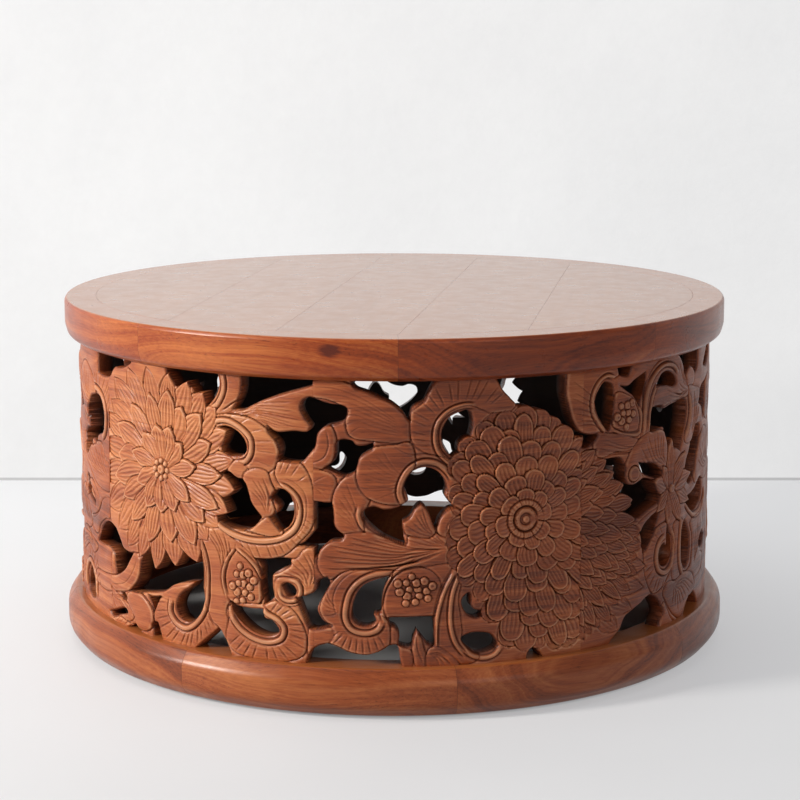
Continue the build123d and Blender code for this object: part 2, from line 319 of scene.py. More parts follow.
    def ring(
        self, centre, r0, r1, count, turn, half, level, rise, point, reach, bowl, vein, adds=False, lip=0.3
    ):
        """Petals side by side, none longer than the flower reaches that way: (angle, radius) pairs."""
        at, far = zip(*reach)
        for k in range(count):
            one, two, three = math.sin(7.3 * k + r1), math.sin(5.1 * k + r0), math.sin(3.7 * k + 2 * r1)
            degrees = turn + 360 * k / count + 80 * one / count
            edge = float(np.interp(degrees % 360, at, far, period=360)) * (1 + 0.02 * two)
            long = min(r1 * (1 + 0.07 * three), edge)
            if long - r0 < 0.55 * (r1 - r0):
                continue
            root, tip = (polar(centre, degrees, r) for r in (r0, long))
            half_now, level_now = half * (1 + 0.14 * two), level + 0.3 * one
            self.petal(root, tip, half_now, level_now, rise, point, bowl, vein, adds, lip=lip, lean=three)


def polar(centre, degrees, r):
    """The place at an angle and a distance from a centre."""
    a = math.radians(degrees)
    return centre[0] + r * math.cos(a), centre[1] + r * math.sin(a)


# The openings, and then what the gouges do. Sheet.follow says how a stroke is written.
OPENINGS = """
# panel 1
1 saw -289,376! -288,364 -280,358 -274,350 -262,352 -250,352 -245,344 -238,336 -231,331! -222,338 -214,349
 -211,361 -215,376!
1 saw -183,376! -182,366 -184,350 -193,333! -180,334 -160,344 -140,352 -118,359 -97,366! -97,376!
1 saw -219,302! -211,312 -199,314 -186,309 -177,299 -176,288 -183,282 -196,281 -207,285 -211,296
12 saw -94,349 -104,352 -112,347 -114,338 -109,328 -103,320! -107,314 -122,314 -140,312 -151,318! -149,310
 -140,301 -137,292 -139,282! -130,280 -114,280 -107,287 -99,298 -96,312 -89,320 -79,323 -69,327 -65,336
 -67,343 -84,346
1 saw -203,264! -188,259 -178,253 -174,243 -170,231 -158,217! -167,206 -178,200 -196,200 -210,205 -222,212!
 -218,226 -216,244 -214,258
1 saw -148,239! -143,246 -135,249 -127,244 -122,233 -122,220 -127,209 -137,202! -144,210 -149,217! -142,222
 -139,230
1 saw -119,188! -110,193 -101,204! -94,206 -94,187 -103,187
1 saw -166,169! -150,170 -135,173 -125,172! -126,165 -136,160 -146,154! -146,140 -145,128 -156,119! -159,132
 -160,147 -160,160
1 saw -135,143 -129,146 -122,143 -119,137 -122,131 -129,130 -133,136
12 saw -120,130! -106,134 -99,139 -96,150 -86,155! -84,147 -93,130 -97,118 -91,106 -82,101! -96,96 -106,97
 -112,110
14 saw -447,141! -438,155 -424,168 -410,172 -394,168 -384,158 -374,147 -354,146! -362,136 -372,124 -384,117
 -394,113! -397,124 -399,136 -410,142 -428,141
1 saw -246,181! -240,170 -236,152 -236,134 -238,118 -243,130 -250,131 -264,129 -280,124 -295,115 -305,111
 -318,108 -342,103 -362,101! -346,115 -340,128 -337,142 -332,154 -318,160 -300,162 -272,165 -256,174
1 saw -278,97 -275,108 -268,117 -256,125 -249,133! -239,133 -235,118 -238,104 -246,92 -258,84 -270,86
1 saw -253,50! -240,63 -228,73 -215,84! -210,80 -205,70 -200,60 -197,50!
1 saw -199,117! -188,114 -172,113 -157,114! -156,105 -146,101 -139,93 -141,87 -153,83 -168,86 -182,94 -193,104
1 saw -315,50! -318,64 -317,72 -310,74 -305,64 -300,50!
1 saw -327,104! -318,103 -303,106! -309,98 -316,85! -320,94
1 saw -384,93! -376,95 -370,90 -378,87
1 saw -374,50! -366,57 -352,63 -343,59 -337,50!
14 saw -412,64! -392,72 -374,78 -367,73 -388,66 -404,60
14 saw -436,376! -436,345! -418,343 -402,346 -390,358 -372,360 -354,368 -354,376!
# panel 2
2 saw -62,376! -57,364 -44,359 -30,353 -17,347 -6,338 1,328! 3,338 8,344 18,349 22,357 27,366 34,376!
2 saw -76,303 -70,307 -60,306 -55,301 -46,301 -37,304! -38,297 -46,292 -52,287 -54,280 -58,271 -68,267 -78,270
 -89,275! -80,282 -77,292
2 saw -4,256 1,268 10,275 21,277 32,273 40,264 43,254 41,246 47,237 58,229! 45,228 37,221 31,210! 24,208
 10,208 -4,205 -2,192! -12,195 -27,202 -40,212 -48,222 -46,231 -36,234 -25,231 -10,234 0,241 -1,248
2 saw -106,238! -90,237 -81,236 -79,222 -78,211 -68,201! -72,196 -84,194 -93,186 -98,178 -106,176!
2 saw -19,158! -34,154 -47,148 -55,138 -60,124 -61,112 -56,104 -46,101 -38,103 -34,108 -37,116! -29,117
 -28,132 -25,146
2 saw -20,112! 3,112 28,113! 30,98 30,80! 23,81 16,89 10,96! 6,88 4,79 -4,79 -10,82 -9,92 -13,100 -20,104
12 saw -109,50! -107,64 -100,75 -88,80 -76,77 -62,71 -45,69 -31,73 -20,80 -11,80 -9,70 -7,60 -3,50!
2 saw 67,338 56,336 45,330 38,318 37,307 41,296 48,288 56,280! 60,290 64,300 70,312 72,326
23 saw 96,376! 104,362 114,350 126,338 140,326 158,320 172,312 184,302 194,292 206,285 215,288 224,299 212,300
 201,304 193,313 188,324 184,338 181,352 182,376!
2 saw 60,86 68,91 80,92 93,89 102,79! 100,73 90,69 78,69 67,76
2 saw 60,128 66,136 70,135 71,122 77,117 86,116 86,112 78,108 69,111 63,118
2 saw 137,50! 138,63 146,69 152,62 158,50!
# panel 3
3 saw 229,353 236,357 245,352 247,338 246,322 243,306 239,301 229,314 222,326 221,340
3 saw 257,350! 270,348 283,354 301,360! 302,352 298,340 293,330 288,322! 280,335 269,342
3 saw 319,341! 330,353 345,356 360,350 366,340 357,336 345,339 332,340
3 saw 312,316 330,318 341,313 356,315 372,316 388,318 400,312 402,300 398,284 390,270 382,258! 372,262 362,262
 352,268 342,282 340,291 328,291 312,290 310,303
3 saw 228,266 240,269 258,268 266,258 266,246 270,237 282,234 300,238 318,234 325,226 330,216 338,207! 318,203
 303,199 290,194 280,194! 268,204 256,214 246,226 238,240 230,252
3 saw 288,259! 300,256 316,254 330,246 340,237! 330,235 316,237 302,243 294,249
3 saw 442,305! 452,316 462,321 483,324! 478,308 476,296 470,282 462,297
3 saw 428,276 440,278 453,276 453,262 445,250 436,240 430,225 424,214 412,212 402,222 400,236 410,250 418,262
3 saw 398,197! 420,198 440,203 455,210 466,208 472,196 466,182 452,176 436,174 420,179 408,186
3 saw 301,152 298,166 296,178 304,186 316,192 336,197! 330,185 322,172 311,160
3 saw 351,178! 358,166 361,152 360,138 352,129 343,127 334,132 331,142 334,151 342,155 348,152 348,163
3 saw 400,171 410,162 418,150 420,136 416,120 406,112 397,115 391,126 390,142 392,158
3 saw 366,376! 378,368 386,357 392,344 402,338 418,338 428,341 436,346 440,356 440,376!
34 saw 468,346! 486,362 500,366 516,366 520,352 506,343 490,340
3 saw 240,50! 252,62 262,70 270,82 284,88 296,92 308,97 318,99 328,94 340,82 345,72 338,64 332,50!
3 saw 398,50! 408,64 418,71 436,75 450,66 457,50!
3 saw 459,132! 470,138 482,140 497,132! 484,121 468,121
3 saw 250,376! 254,364 262,360 271,361 278,376!
# panel 4
4 saw -478,280 -475,300 -460,314 -440,318 -425,312 -419,298 -420,284 -428,274 -440,270 -446,258 -456,262
 -470,264
4 saw 559,307 566,322 580,334 596,328 604,315 598,300 586,292 570,294
4 saw 589,376! 597,364 607,354 630,356 660,358 672,364 686,376!
4 saw 634,290! 648,306 664,320! 682,310 702,296! 680,290 656,286
4 saw 552,176! 566,196 584,208 604,202 624,186! 600,182 576,174
4 saw 526,50! 546,66 560,80 572,94! 584,80 592,66 594,50!
4 saw 708,262! 728,272 755,272! 744,252 728,240 716,246
4 saw 716,210! 728,214 760,192 764,184! 744,190 724,198
4 saw 708,74 716,92 728,103 742,100 752,86 750,70 736,64 718,66
4 saw 520,298! 532,290 544,270 540,232! 526,250 518,272
4 saw 634,246 648,257 664,254 684,224! 674,210 656,204 640,216
4 saw 628,134! 646,142 680,146! 674,124 664,108 650,104 636,112
"""

CARVING = """
# panel 1
# the leaf that runs up to the right-hand joint, and the neck beside it
1 fan .1 -214,327 -150,349 -128,355 -112,362
1 fan .06 -208,326 -122,346 -120,336 -112,326 -118,318 -136,316
1 bead 3.2 1.5 -224,329 -213,337 -206,349 -204,361 -207,374
# the S-scroll
1 dome -2.8 1.2 6 1.6 -226,322! -200,327 -172,325 -154,316 -143,303 -138,290 -139,278 -148,268 -160,262
 -172,259 -186,262 -198,272 -204,282 -228,296
1 bead -226,308 -214,318 -199,320 -183,314 -171,303 -170,288 -177,277 -191,274
1 flutes 6 1.2 .9 -205,322 -185,318 -168,305 -165,290 -168,276 / -200,327 -172,325 -148,308 -139,288 -146,268
1 tip -2.6 1 5 1.4 -200,268 -192,276 -182,275 -174,268 -178,258 -190,258
1 dome -2.7 1.4 7 1.6 -178,264 -166,270 -152,268 -147,256 -143,246 -147,238 -143,226 -148,216! -160,216
 -170,228 -176,244 -180,254
1 fan -.08 -150,220 -172,246 -168,258 -156,262 -150,252
1 dome -3 1.4 7 1.6 -139,279! -128,280 -113,278 -104,264 -100,246 -99,226 -103,208 -116,192 -130,178 -148,171
 -168,170 -192,178 -214,190 -232,206! -214,207 -196,203 -176,198 -152,196 -132,202 -120,214 -116,232 -124,246
 -136,254 -142,266
1 bead 3.4 1.9 -140,254 -128,250 -118,240 -115.5,224 -120,208 -132,197 -150,191 -172,190 -194,194 -214,202
 -230,208
1 cut 1.1 .9 -133,262 -120,258 -109,246 -107,226 -112,208 -124,194
12 flutes 17 1.3 1.3 -226,203 -206,194 -180,186 -152,186 -132,192 -114,206 -108,222 / -222,192 -200,178
 -172,170 -146,171 -124,182 -106,200 -100,218
1 flutes 4 1.3 1.1 -138,268 -126,266 -114,256 / -134,280 -118,280 -102,262
# lobe at the C's foot, between the two openings
1 dome -3 .9 5 1.2 -174,200! -164,208 -150,217 -140,208 -134,200 -150,196
# band from the flower down to the pod and round the left-hand C-scroll
1 dome -3 1.2 7 1.4 -244,200 -228,206 -206,196 -186,184 -170,172 -162,158 -160,140 -160,122 -178,116 -198,118
 -204,104 -198,92 -184,80 -196,66 -206,74 -214,86 -222,92 -230,110 -228,140 -230,160 -238,182
1 fan -.12 1.3 1.2 -206,150 -236,196 -222,200 -206,194 -190,183 -176,172
1 pod 15 24 -182,138 -163,119 -160,135 -164,151 -174,164 -190,176! -199,162 -204,144 -202,128 -198,119
 -182,116
1 bead 2 1.3 1.2 -203,116 -182,112 -160,115 -156,133 -161,153 -172,167 -190,179
1 bead 1.8 1.2 1 -201,120 -207,142 -203,162 -192,178
1 bead 3.2 1.9 -241,184 -233,168 -229,150 -229,130 -230,114 -236,98 -248,84 -262,77 -277,81 -286,93 -284,108
1 flutes 15 1.4 1.4 -296,108 -291,92 -280,77 -262,72 -246,78 -234,88 -226,100 / -306,106 -312,88 -298,62
 -270,56 -248,60 -230,76 -216,88
1 cut 1.1 1 -300,112 -284,120 -264,126 -252,127
# right-hand C-scroll
1 dome -3 1.3 7 1.4 -157,119! -140,124 -124,116 -113,100 -108,82 -112,66 -128,58 -150,56 -176,57 -194,62
 -204,74 -200,96 -197,114
1 bead 3 1.8 -160,116 -152,109 -140,103 -133,94 -137,82 -152,77 -170,80 -186,89 -199,104
1 flutes 16 1.4 1.4 -150,112 -136,106 -127,94 -132,78 -150,71 -172,74 -190,84 / -142,124 -122,114 -109,92
 -114,66 -146,56 -182,58 -204,74
# leaf that curls over the joint, with a small round scroll
1 dome -3.2 1.5 5 1.2 -148,152! -136,157 -126,165 -129,172! -118,174 -110,184 -94,190 -94,150 -102,138
 -112,130 -118,122 -130,120 -142,126 -148,138
1 fan -.14 1.2 1.1 -104,138 -147,151 -134,157 -127,170 -112,181 -100,186
1 dome -3 1.3 4 1.3 -144,140 -140,128 -128,123 -116,127 -112,138 -116,150 -128,152 -140,150
1 bead 2.2 1.3 1 -139,141 -136,130 -128,125.5 -118,128 -114.5,138 -118,147 -128,150
# lower left: stem, round lobe and leaves
14 dome -3.2 1.8 9 1.6 -346,148! -334,150 -338,136 -344,120 -354,108 -366,100 -390,94 -420,88 -450,92 -450,106
 -420,108 -394,112 -378,121 -364,134 -356,146
1 cut 1.2 1 -344,142 -354,124 -372,108 -400,100
1 dome -2.8 2 10 1.6 -366,96 -352,102 -336,101 -322,92 -316,80 -320,66 -332,60 -346,62 -352,72 -362,82
1 dome -3.2 1.4 7 1.4 -404,96 -390,90 -374,86 -362,82 -354,72 -364,64 -380,66 -396,76
1 fan .1 -402,88 -366,84 -360,76 -366,68
1 dome -3.4 1 5 1.2 -402,58 -384,64 -368,62 -352,60 -338,56 -344,48 -402,48
1 flutes 7 1.2 1 -398,58 -350,58 / -390,66 -342,64
# panel 2
# smooth leaf along the top, from the joint to the scroll
2 dome -3 1.5 9 1.6 -108,368! -84,374 -58,366 -30,355 -8,341 3,326 2,306 -12,304 -36,306 -60,310 -66,326
 -64,340 -84,350 -104,354
2 comb 7 1.1 .7 -102,364 -70,361 -40,348 -10,328 / -62,314 -50,321 -32,316 -6,312
# curled leaf on the joint
2 dome -3 1.6 7 1.4 -96,314 -88,324 -79,318 -76,304 -78,290 -84,279 -98,272 -114,275 -108,285 -99,296
2 cut 1.2 1 -86,316 -84,300 -90,286 -106,279
2 dome -3.4 1.6 8 -106,272 -90,272 -78,266 -76,252 -82,238 -96,238 -106,242
# two smooth lobes left of the keyhole
2 dome -3.1 1.8 9 -57,272 -70,263 -79,247 -81,226 -77,209 -64,202 -48,204 -48,222 -44,234 -40,246 -46,262
2 dome -2.7 1.6 8 1.6 -37,299 -50,290 -55,274 -52,256 -41,243 -20,237 2,241 2,262 8,284 3,304 -14,302
2 fan .06 1.1 .6 2,262 -28,298 -44,288 -52,272 -49,258 -34,243
# lobes under the leaf, at the head of the keyhole scroll
2 bead 3.2 1.9 -4,236 -9,250 -6,264 3,277 17,283 32,281 44,272 50,262
2 cut 1.2 1 -14,300 2,292 24,292 44,286 58,270
2 bead 2.6 1.4 1.2 -50,236 -53,224 -46,210 -30,199 -10,190
# acanthus above the dahlia, round the next scroll
2 dome -3 1.4 8 1.4 4,338! 18,348 24,360 34,374 96,374 106,358 122,344 104,330 84,338 66,344 46,338 34,324
 31,306 38,290 50,280 40,288 18,294 5,306 3,322
2 bead 3 1.8 76,343 60,343 44,337 33,325 30,309 34,294 46,282 58,276
2 flutes 15 94,344 76,349 58,350 40,344 27,330 23,312 28,296 / 108,354 90,372 60,374 30,364 8,342 4,316 12,296
# acanthus that spreads to the left from the dahlia's foot
2 dome -3.2 1.5 7 1.4 50,206 36,204 20,206 2,202 -2,192 -24,200 -46,206 -70,202 -84,194 -94,184 -96,168
 -92,158 -84,152 -70,160 -50,164 -24,164 0,166 30,170 50,176
2 fan .05 1.3 1.2 46,186 -30,199 -62,200 -82,190 -90,178 -88,164 -66,164 -30,168
2 fan .05 46,190 0,198 18,203 30,204
2 tip -2.9 1.6 6 1.6 -6,217! 2,222 8,232 15,237 22,230 27,218 30,206 22,200 6,202 -4,206
2 fan .06 30,200 -2,214 8,226 16,232
2 tip -2.7 1.6 6 1.6 33,214 38,224 47,231 58,230 64,218 60,204 46,200 34,204
2 cut 1.1 .9 42,204 44,214 50,224
2 fan -.05 1.1 .6 -52,206 -66,262 -76,246 -77,228 -70,212
2 fan .05 1.1 .7 -104,256 -84,268 -80,254 -86,242
# C-scroll round the opening left of the pod
2 dome -3.1 1.4 8 -16,164! -30,164 -54,164 -70,160 -82,148 -90,134 -94,118 -88,106 -80,100 -94,94 -98,84
 -86,82 -74,78 -60,72 -44,70 -30,74 -20,82 -20,104 -24,112 -24,128 -20,146
2 bead 3 1.8 -16,162 -34,160 -50,153 -61,141 -66,126 -67,110 -60,98 -46,94 -33,98 -27,108
2 flutes 9 1.4 1.3 -74,96 -62,90 -46,88 -30,92 / -90,86 -68,74 -44,70 -22,80
2 cut 1.2 .9 -30,166 -58,162 -74,148 -80,130 -76,112
2 fan .1 -72,118 -88,142 -93,128 -92,112
12 dome -3.3 1.2 6 1.2 -106,96! -94,97 -82,98 -80,88 -88,80 -100,74 -107,68
# pod
2 pod 21 18 8,142 -23,112 -26,130 -21,148 -9,162 8,168 26,163 36,150 34,132 30,113
2 bead 2.2 1.4 1.2 -24,106 -29,122 -27,140 -18,157 -3,168 14,171
2 bead 1.6 .9 .8 -22,111 4,110 30,111
# twin stems beside the pod
2 dome -3.2 1.2 6 1.4 30,72 28,96 30,120 36,142 46,160 58,176 66,168 60,150 56,132 58,114 60,96 60,84 68,74
 80,66 70,58 48,60
2 bead 2.2 1.4 1.4 31,76 31,98 34,120 41,142 52,162
2 bead 2.6 1.6 1.4 66,66 54,80 48,98 47,118 50,140 58,160
2 bead 2.6 1.5 1.4 60,78 70,68 84,63 98,66 107,76
# small leaves along the foot
2 tip -3.2 1.4 5 1.4 10,97! 15,88 18,76 22,66 26,54 14,50 8,60 5,72 6,86
2 cut 1.1 1 10,92 11,76 17,60
2 dome -3.4 1 5 1.2 -13,80 -4,78 4,74 6,62 2,50 -8,50 -12,64
2 dome -3.3 1.2 6 1.3 24,76 34,78 46,70 56,60 58,50 26,50 20,64
2 fan .1 24,72 36,56 50,56 44,66
# panel 3
# scroll leaf left of the slot
23 dome -3.1 1.4 7 1.4 184,372! 182,352 186,334 190,320 198,306 212,300 234,298 228,312 219,326 217,342
 224,356 234,362 246,360 258,366 262,374
3 bead 2.6 1.5 248,359 236,363 224,357 216,343 216,326 224,312 236,299
23 fan -.14 232,300 196,312 192,326 188,344 190,362
# pod and the ribs over it
3 pod 15 17 265,317 250,342 264,340 278,332 286,318 288,304 282,296 262,298 246,306 246,326
3 bead 2 1.2 1 244,303 262,294 286,292 292,304 289,320 280,334
3 dome -3.1 1.4 7 1.4 222,300 240,298 262,294 290,284 304,280 296,272 276,272 250,276 228,272 218,284
3 fan .06 298,276 230,294 222,284 232,276
3 cut 1.2 1.2 226,270 250,273 274,270
# double-ribbed C-scroll
3 dome -3.1 1.3 7 1.4 292,284 294,306 297,330 304,350 318,366 340,372 366,374 384,360 392,346 404,338 404,322
 390,318 370,318 352,318 338,316 322,318 310,314 308,298 310,288
3 bead 2.6 1.7 1.5 296,288 297,308 300,330 308,348 322,360 340,364 358,360 370,350
3 bead 2.2 1.5 1.3 306,292 307,312 312,332 322,345
3 fan .08 402,326 338,322 342,334 366,326 372,338 386,352 372,362
3 tip -2.8 1.2 6 1.4 394,342 398,349 408,353 418,349 424,340 418,330 402,330
3 dome -3.2 1.4 8 1.4 404,330 426,326 446,320 446,304 440,290 430,276 418,264 404,262 394,268 404,286 408,304
 404,318
3 bead 2.4 1.4 1.2 404,322 410,304 406,286 396,270
3 fan -.1 412,268 422,322 434,314 440,300
# curled leaf over the lily
3 dome -3 1.7 8 266,240 266,256 274,272 288,284 306,290 326,290 340,286 346,272 346,256 340,238 322,236
 304,242 290,250 296,240 284,234 272,234
3 fan .14 344,244 292,262 290,276 304,286 322,288 336,284
3 ball 9 -3.4 279,247
# band from the dahlia to the lily, ring scroll and its foot
3 dome -3.2 1.5 7 1.4 276,190 290,197 306,203 326,208 344,208 340,196 322,192 304,186 294,176 284,172
3 cut 1.2 1 282,184 302,195 334,202
3 dome -3 1.4 8 302,152 312,160 322,172 334,178 348,178 350,166 362,160 366,140 360,122 350,112 340,104
 322,100 310,112 302,130
3 bead 3 1.8 344,164 332,160 325,150 324,138 330,126 343,120 356,124 365,136 367,152 362,168
3 flutes 11 338,168 322,160 316,144 318,126 330,116 346,112 / 334,178 312,166 302,142 306,116 322,100 344,100
3 dome -3.2 1.4 7 1.4 366,172 380,176 392,172 388,158 388,140 390,124 398,112 386,104 372,104 362,112 364,128
 370,146
3 bead 2.6 1.5 1.3 384,178 382,160 380,140 382,122 392,108 406,104
3 dome -3.3 1.5 8 1.4 404,104 420,112 426,130 426,148 418,164 436,168 458,170 476,178 480,160 470,142 456,132
 466,118 480,112 470,96 440,92 412,92
3 bead 2.8 1.7 1.4 398,192 412,180 432,170 454,170 474,178 484,194
3 fan -.12 430,110 430,150 446,158 464,160 444,128
3 dome -3.1 1.6 8 1.4 372,104! 396,108 420,104 432,96 438,84 428,76 412,74 400,66 388,56 372,62 360,72 350,84
 342,96 352,106
3 fan 366,100 362,78 380,66 398,72 416,80 430,86
3 dome -3.3 1.2 6 1.3 344,84 352,76 360,64 370,52 340,50 338,62
# right-hand edge
34 dome -3.1 1.6 9 430,228 436,240 446,250 456,262 470,270 488,266 500,252 508,236 508,214 492,206 474,206
 456,212 440,208 430,212
3 fan 500,220 440,236 448,250 466,264 484,262
34 dome -3.2 1.5 8 1.4 484,322 500,330 514,320 518,300 508,282 492,276 476,284 478,304
34 fan .1 510,296 486,318 482,300 482,288
# panel 4
# plain leaves that fill the ground
4 dome -3.1 1.7 8 550,222! 550,244 562,266 580,277 604,278 622,268 627,246 619,226 600,215 574,216
4 fan .1 618,264 553,226 557,246 570,264 590,273 600,220 578,222
4 dome -3.1 1.7 8 630,184! 640,196 660,201 680,205 692,192 686,172 670,163 648,165
4 fan .08 685,186 634,184 646,195 664,199 650,169 668,166
4 dome -3.1 1.7 8 516,108! 530,114 548,110 562,102 574,100 590,102 596,116 584,132 566,136 546,130 528,122
4 fan -.1 590,114 522,111 536,122 550,128 568,132
4 dome -3.1 1.7 8 614,350! 640,351 668,352 690,343 696,328 684,320 666,328 648,324 630,310 620,328
4 fan .06 689,334 618,346 638,347 662,348 630,322 648,329
4 dome -3.1 1.7 8 688,112! 690,132 702,146 722,149 744,142 766,134 752,124 730,130 708,122
4 fan -.12 756,132 692,118 696,132 708,143 726,144
4 dome -3.1 1.7 8 566,148! 580,162 600,169 620,171 618,155 606,143 588,138
4 fan .08 615,165 570,148 584,143 600,145 588,160
4 dome -3.1 1.7 8 668,64 672,84 677,104 687,120 699,104 695,84 690,64 680,57
4 fan .03 682,62 674,86 687,114 693,92
# ring scroll and leaf that reach the first panel
4 bead 3.4 1.9 -486,280 -483,303 -464,321 -440,326 -420,318 -411,300 -413,280 -424,268
14 flutes 14 1.4 1.3 -490,300 -468,326 -438,332 -414,322 -404,300 / -502,312 -478,340 -440,344 -404,338
 -398,312
4 dome -3.1 1.6 8 -500,250 -480,256 -458,254 -440,262 -424,262 -414,246 -402,238 -402,212 -420,208 -444,212
 -470,226 -496,236
4 fan .06 -406,224 -494,244 -472,250 -446,256 -424,254
4 dome -3 1.6 -496,190 -484,206 -464,212 -446,204 -432,190 -446,176 -468,170 -486,176
4 bead 2.4 1.4 1.2 -486,190 -466,200 -446,192
4 dome -3.3 1.3 6 1.3 -500,168 -470,160 -448,150 -436,164 -420,174 -406,178 -402,200 -424,196 -440,176
 -466,166 -492,178
4 bead 3 1.7 702,70 708,92 724,108 744,108 760,92 760,70
4 flutes 14 1.4 1.3 698,84 710,106 734,116 758,106 768,84 / 688,92 702,118 734,130 766,118 780,92
# round scroll on the left, and stems
4 bead 3.2 1.8 552,306 560,328 580,341 602,334 612,315 604,294 586,284 566,287
4 flutes 18 1.4 1.3 548,300 556,332 580,348 606,341 620,316 608,288 / 534,298 542,344 578,364 618,354 638,318
 620,278
4 bead 3.2 1.8 516,120 540,130 560,150 574,170 600,176 630,182
4 bead 2.8 630,260 650,266 672,262 694,230
4 bead 2.8 620,138 644,150 684,154
34 dome -3.1 1.6 8 510,220 530,222 548,214 560,200 548,178 528,168 508,172
4 fan .1 512,196 536,216 552,204 550,186 530,174
4 dome -3 1.6 8 600,100 612,118 630,124 640,104 636,82 616,76 602,84
4 fan .1 636,92 606,108 604,92 614,82
4 pod 14 15 646,78 640,100 652,96 664,84 664,68 650,58 632,62 626,78
4 dome -3.1 1.7 8 690,190 708,200 722,190 740,176 748,160 730,150 708,158 694,172
4 fan .08 744,160 694,186 706,194 720,186
4 dome -3 1.8 9 700,340 724,352 752,344 768,326 756,300 736,286 712,296 698,318
4 fan .08 752,306 704,332 722,346 744,342 708,314
"""


def draw(s):
    """The whole ornament, as far as it falls on this sheet."""
    s.follow(OPENINGS)
    s.H = GROUND + GROUND_RISE * (1 - np.exp(-np.clip(s.D, 0, BLANK_EDGE) / 8))
    s.follow(CARVING)
    flower(s)
    dahlia(s)
    lily(s)
    s.H -= 1.5 * bump(np.clip(s.D, 0, 9) / 1.1) + 0.5 * np.exp(-np.clip(s.D, 0, 20) / 3.5)


def flower(s):
    """The wide flower of the first panel: three rings of petals round a head of seeds."""
    if s.design != 0:
        return
    reach = (
        (1, 107), (14, 110), (36, 113), (60, 112), (82, 113), (110, 119), (130, 126), (161, 127),
        (196, 127), (220, 120), (246, 120), (264, 120), (282, 108), (297, 112), (314, 99), (346, 107),
    )
    s.ring(FLOWER, 50, 125, 24, -3.7, 15.5, -4.0, 1.4, 2.6, reach, -0.9, 0.9, True)
    s.ring(FLOWER, 30, 88, 17, 2, 14.5, -3.0, 1.7, 2.6, reach, -0.9, 0.9)
    s.ring(FLOWER, 11, 51, 11, 5, 12.5, -1.9, 1.6, 2.4, reach, -0.8, 0.8)
    for k in range(8):
        s.ball([polar(FLOWER, 45 * k, 10)], 3.3, -2.6)
    s.ball([FLOWER], 5.5, -3.2)


def dahlia(s):
    """The largest flower. It crosses the joint of two panels; beyond it the petals are pointed and finer."""
    if s.design not in (1, 2):
        return
    far = s.design == 2
    if far:
        for root, tip in (
            ((222, 98), (256, 70)),
            ((228, 112), (280, 90)),
            ((232, 130), (300, 112)),
            ((240, 146), (304, 136)),
        ):
            s.petal(root, tip, 13, -4.2, 1.4, 2.0, -0.8, 0.7, False)
    reach = (
        (18, 121), (41, 109), (63, 113), (90, 123), (122, 124), (140, 111), (155, 99), (183, 86),
        (208, 100), (229, 104), (247, 118), (262, 140), (275, 153), (300, 165), (330, 182), (350, 161),
    )
    for r0, r1, count, turn, half, level in (
        (138, 178, 46, 0, 11.0, -4.6),
        (118, 160, 42, 4, 11.5, -4.4),
        (102, 145, 36, 0, 13.0, -4.2),
        (86, 128, 32, 3, 13.5, -3.9),
        (68, 109, 27, 9, 13.0, -3.4),
        (52, 90, 22, 2, 12.5, -2.9),
        (37, 71, 17, 6, 12.0, -2.4),
        (25, 52, 13, 0, 11.5, -1.8),
    ):
        adds = r1 > 100
        if far:
            count, half = round(1.3 * count), 0.74 * half
            s.ring(DAHLIA, r0, r1, count, turn, half, level, 1.6, 2.0, reach, 0.5, 1.0, adds, 0.2)
        else:
            s.ring(DAHLIA, r0, r1, count, turn, half, level, 1.6, 0, reach, 1.0, 0.85, adds, 0.45)
    s.ring(DAHLIA, 12, 34, 8, 11, 11, -1.4, 1.2, 0, reach, 0.9, 0.6, lip=0.5)
    for r, tall in ((18, 1.4), (10, 1.2)):
        s.bead([polar(DAHLIA, degrees, r) for degrees in range(0, 361, 15)], 3.2, tall, 1.4)
    s.ball([DAHLIA], 4, -2.4)


def lily(s):
    """The star of nine petals in the third panel."""
    if s.design != 2:
        return
    for angle, long, half in (
        (-25, 56, 10), (10, 56, 11), (160, 42, 11), (-145, 40, 9), (-100, 42, 9),
        (45, 52, 11), (-60, 50, 10), (125, 36, 9), (92, 60, 9.5),
    ):
        s.petal(LILY, polar(LILY, angle, long), half, -2.2, 1.6, 2.0, -1.0, 0.7, True, 1.8)
    s.ball([LILY], 5, -2.0)


# ---------------------------------------------------------------- planks
def blur(H, mask, r, times=2):
    """Mean of the height round each point of the wood, over a square of side 2 r + 1."""
    a, w = np.where(mask, H, 0.0), mask.astype(float)
    for _ in range(times):
        for axis in (0, 1):
            pad = [(r, r) if k == axis else (0, 0) for k in (0, 1)]
            parts = []
            for v in (a, w):
                c = np.insert(np.cumsum(np.pad(v, pad), axis), 0, 0, axis)
                n = v.shape[axis]
                parts.append(np.take(c, np.arange(n) + 2 * r + 1, axis) - np.take(c, np.arange(n), axis))
            a, w = parts
    return a / np.maximum(w, 1e-9)


def around(u, z, r):
    """Points of the sheet on a cylinder of radius r, in metres, for the panel that faces -Y."""
    phi = np.arcsin(u * (CHORD / SHEET_WIDTH) / DRUM_RADIUS)
    return np.stack([r * np.sin(phi), -r * np.cos(phi), z], -1) / 1000


def held_by(points, a, b):
    """Which points lie inside the loops made of the edges a to b, by even and odd crossings."""
    inside = np.zeros(len(points), bool)
    for lot in range(0, len(points), 2000):
        p = points[lot : lot + 2000]
        x, y = p[:, 0][:, None], p[:, 1][:, None]
        over = (a[:, 1] > y) != (b[:, 1] > y)
        with np.errstate(divide="ignore", invalid="ignore"):
            at = a[:, 0] + (y - a[:, 1]) * (b[:, 0] - a[:, 0]) / (b[:, 1] - a[:, 1])
        inside[lot : lot + 2000] = (over & (x < at)).sum(1) % 2 == 1
    return inside


def corners(grid):
    """What a grid holds at the four corners of each of its cells."""
    return np.stack([grid[:-1, :-1], grid[:-1, 1:], grid[1:, 1:], grid[1:, :-1]])


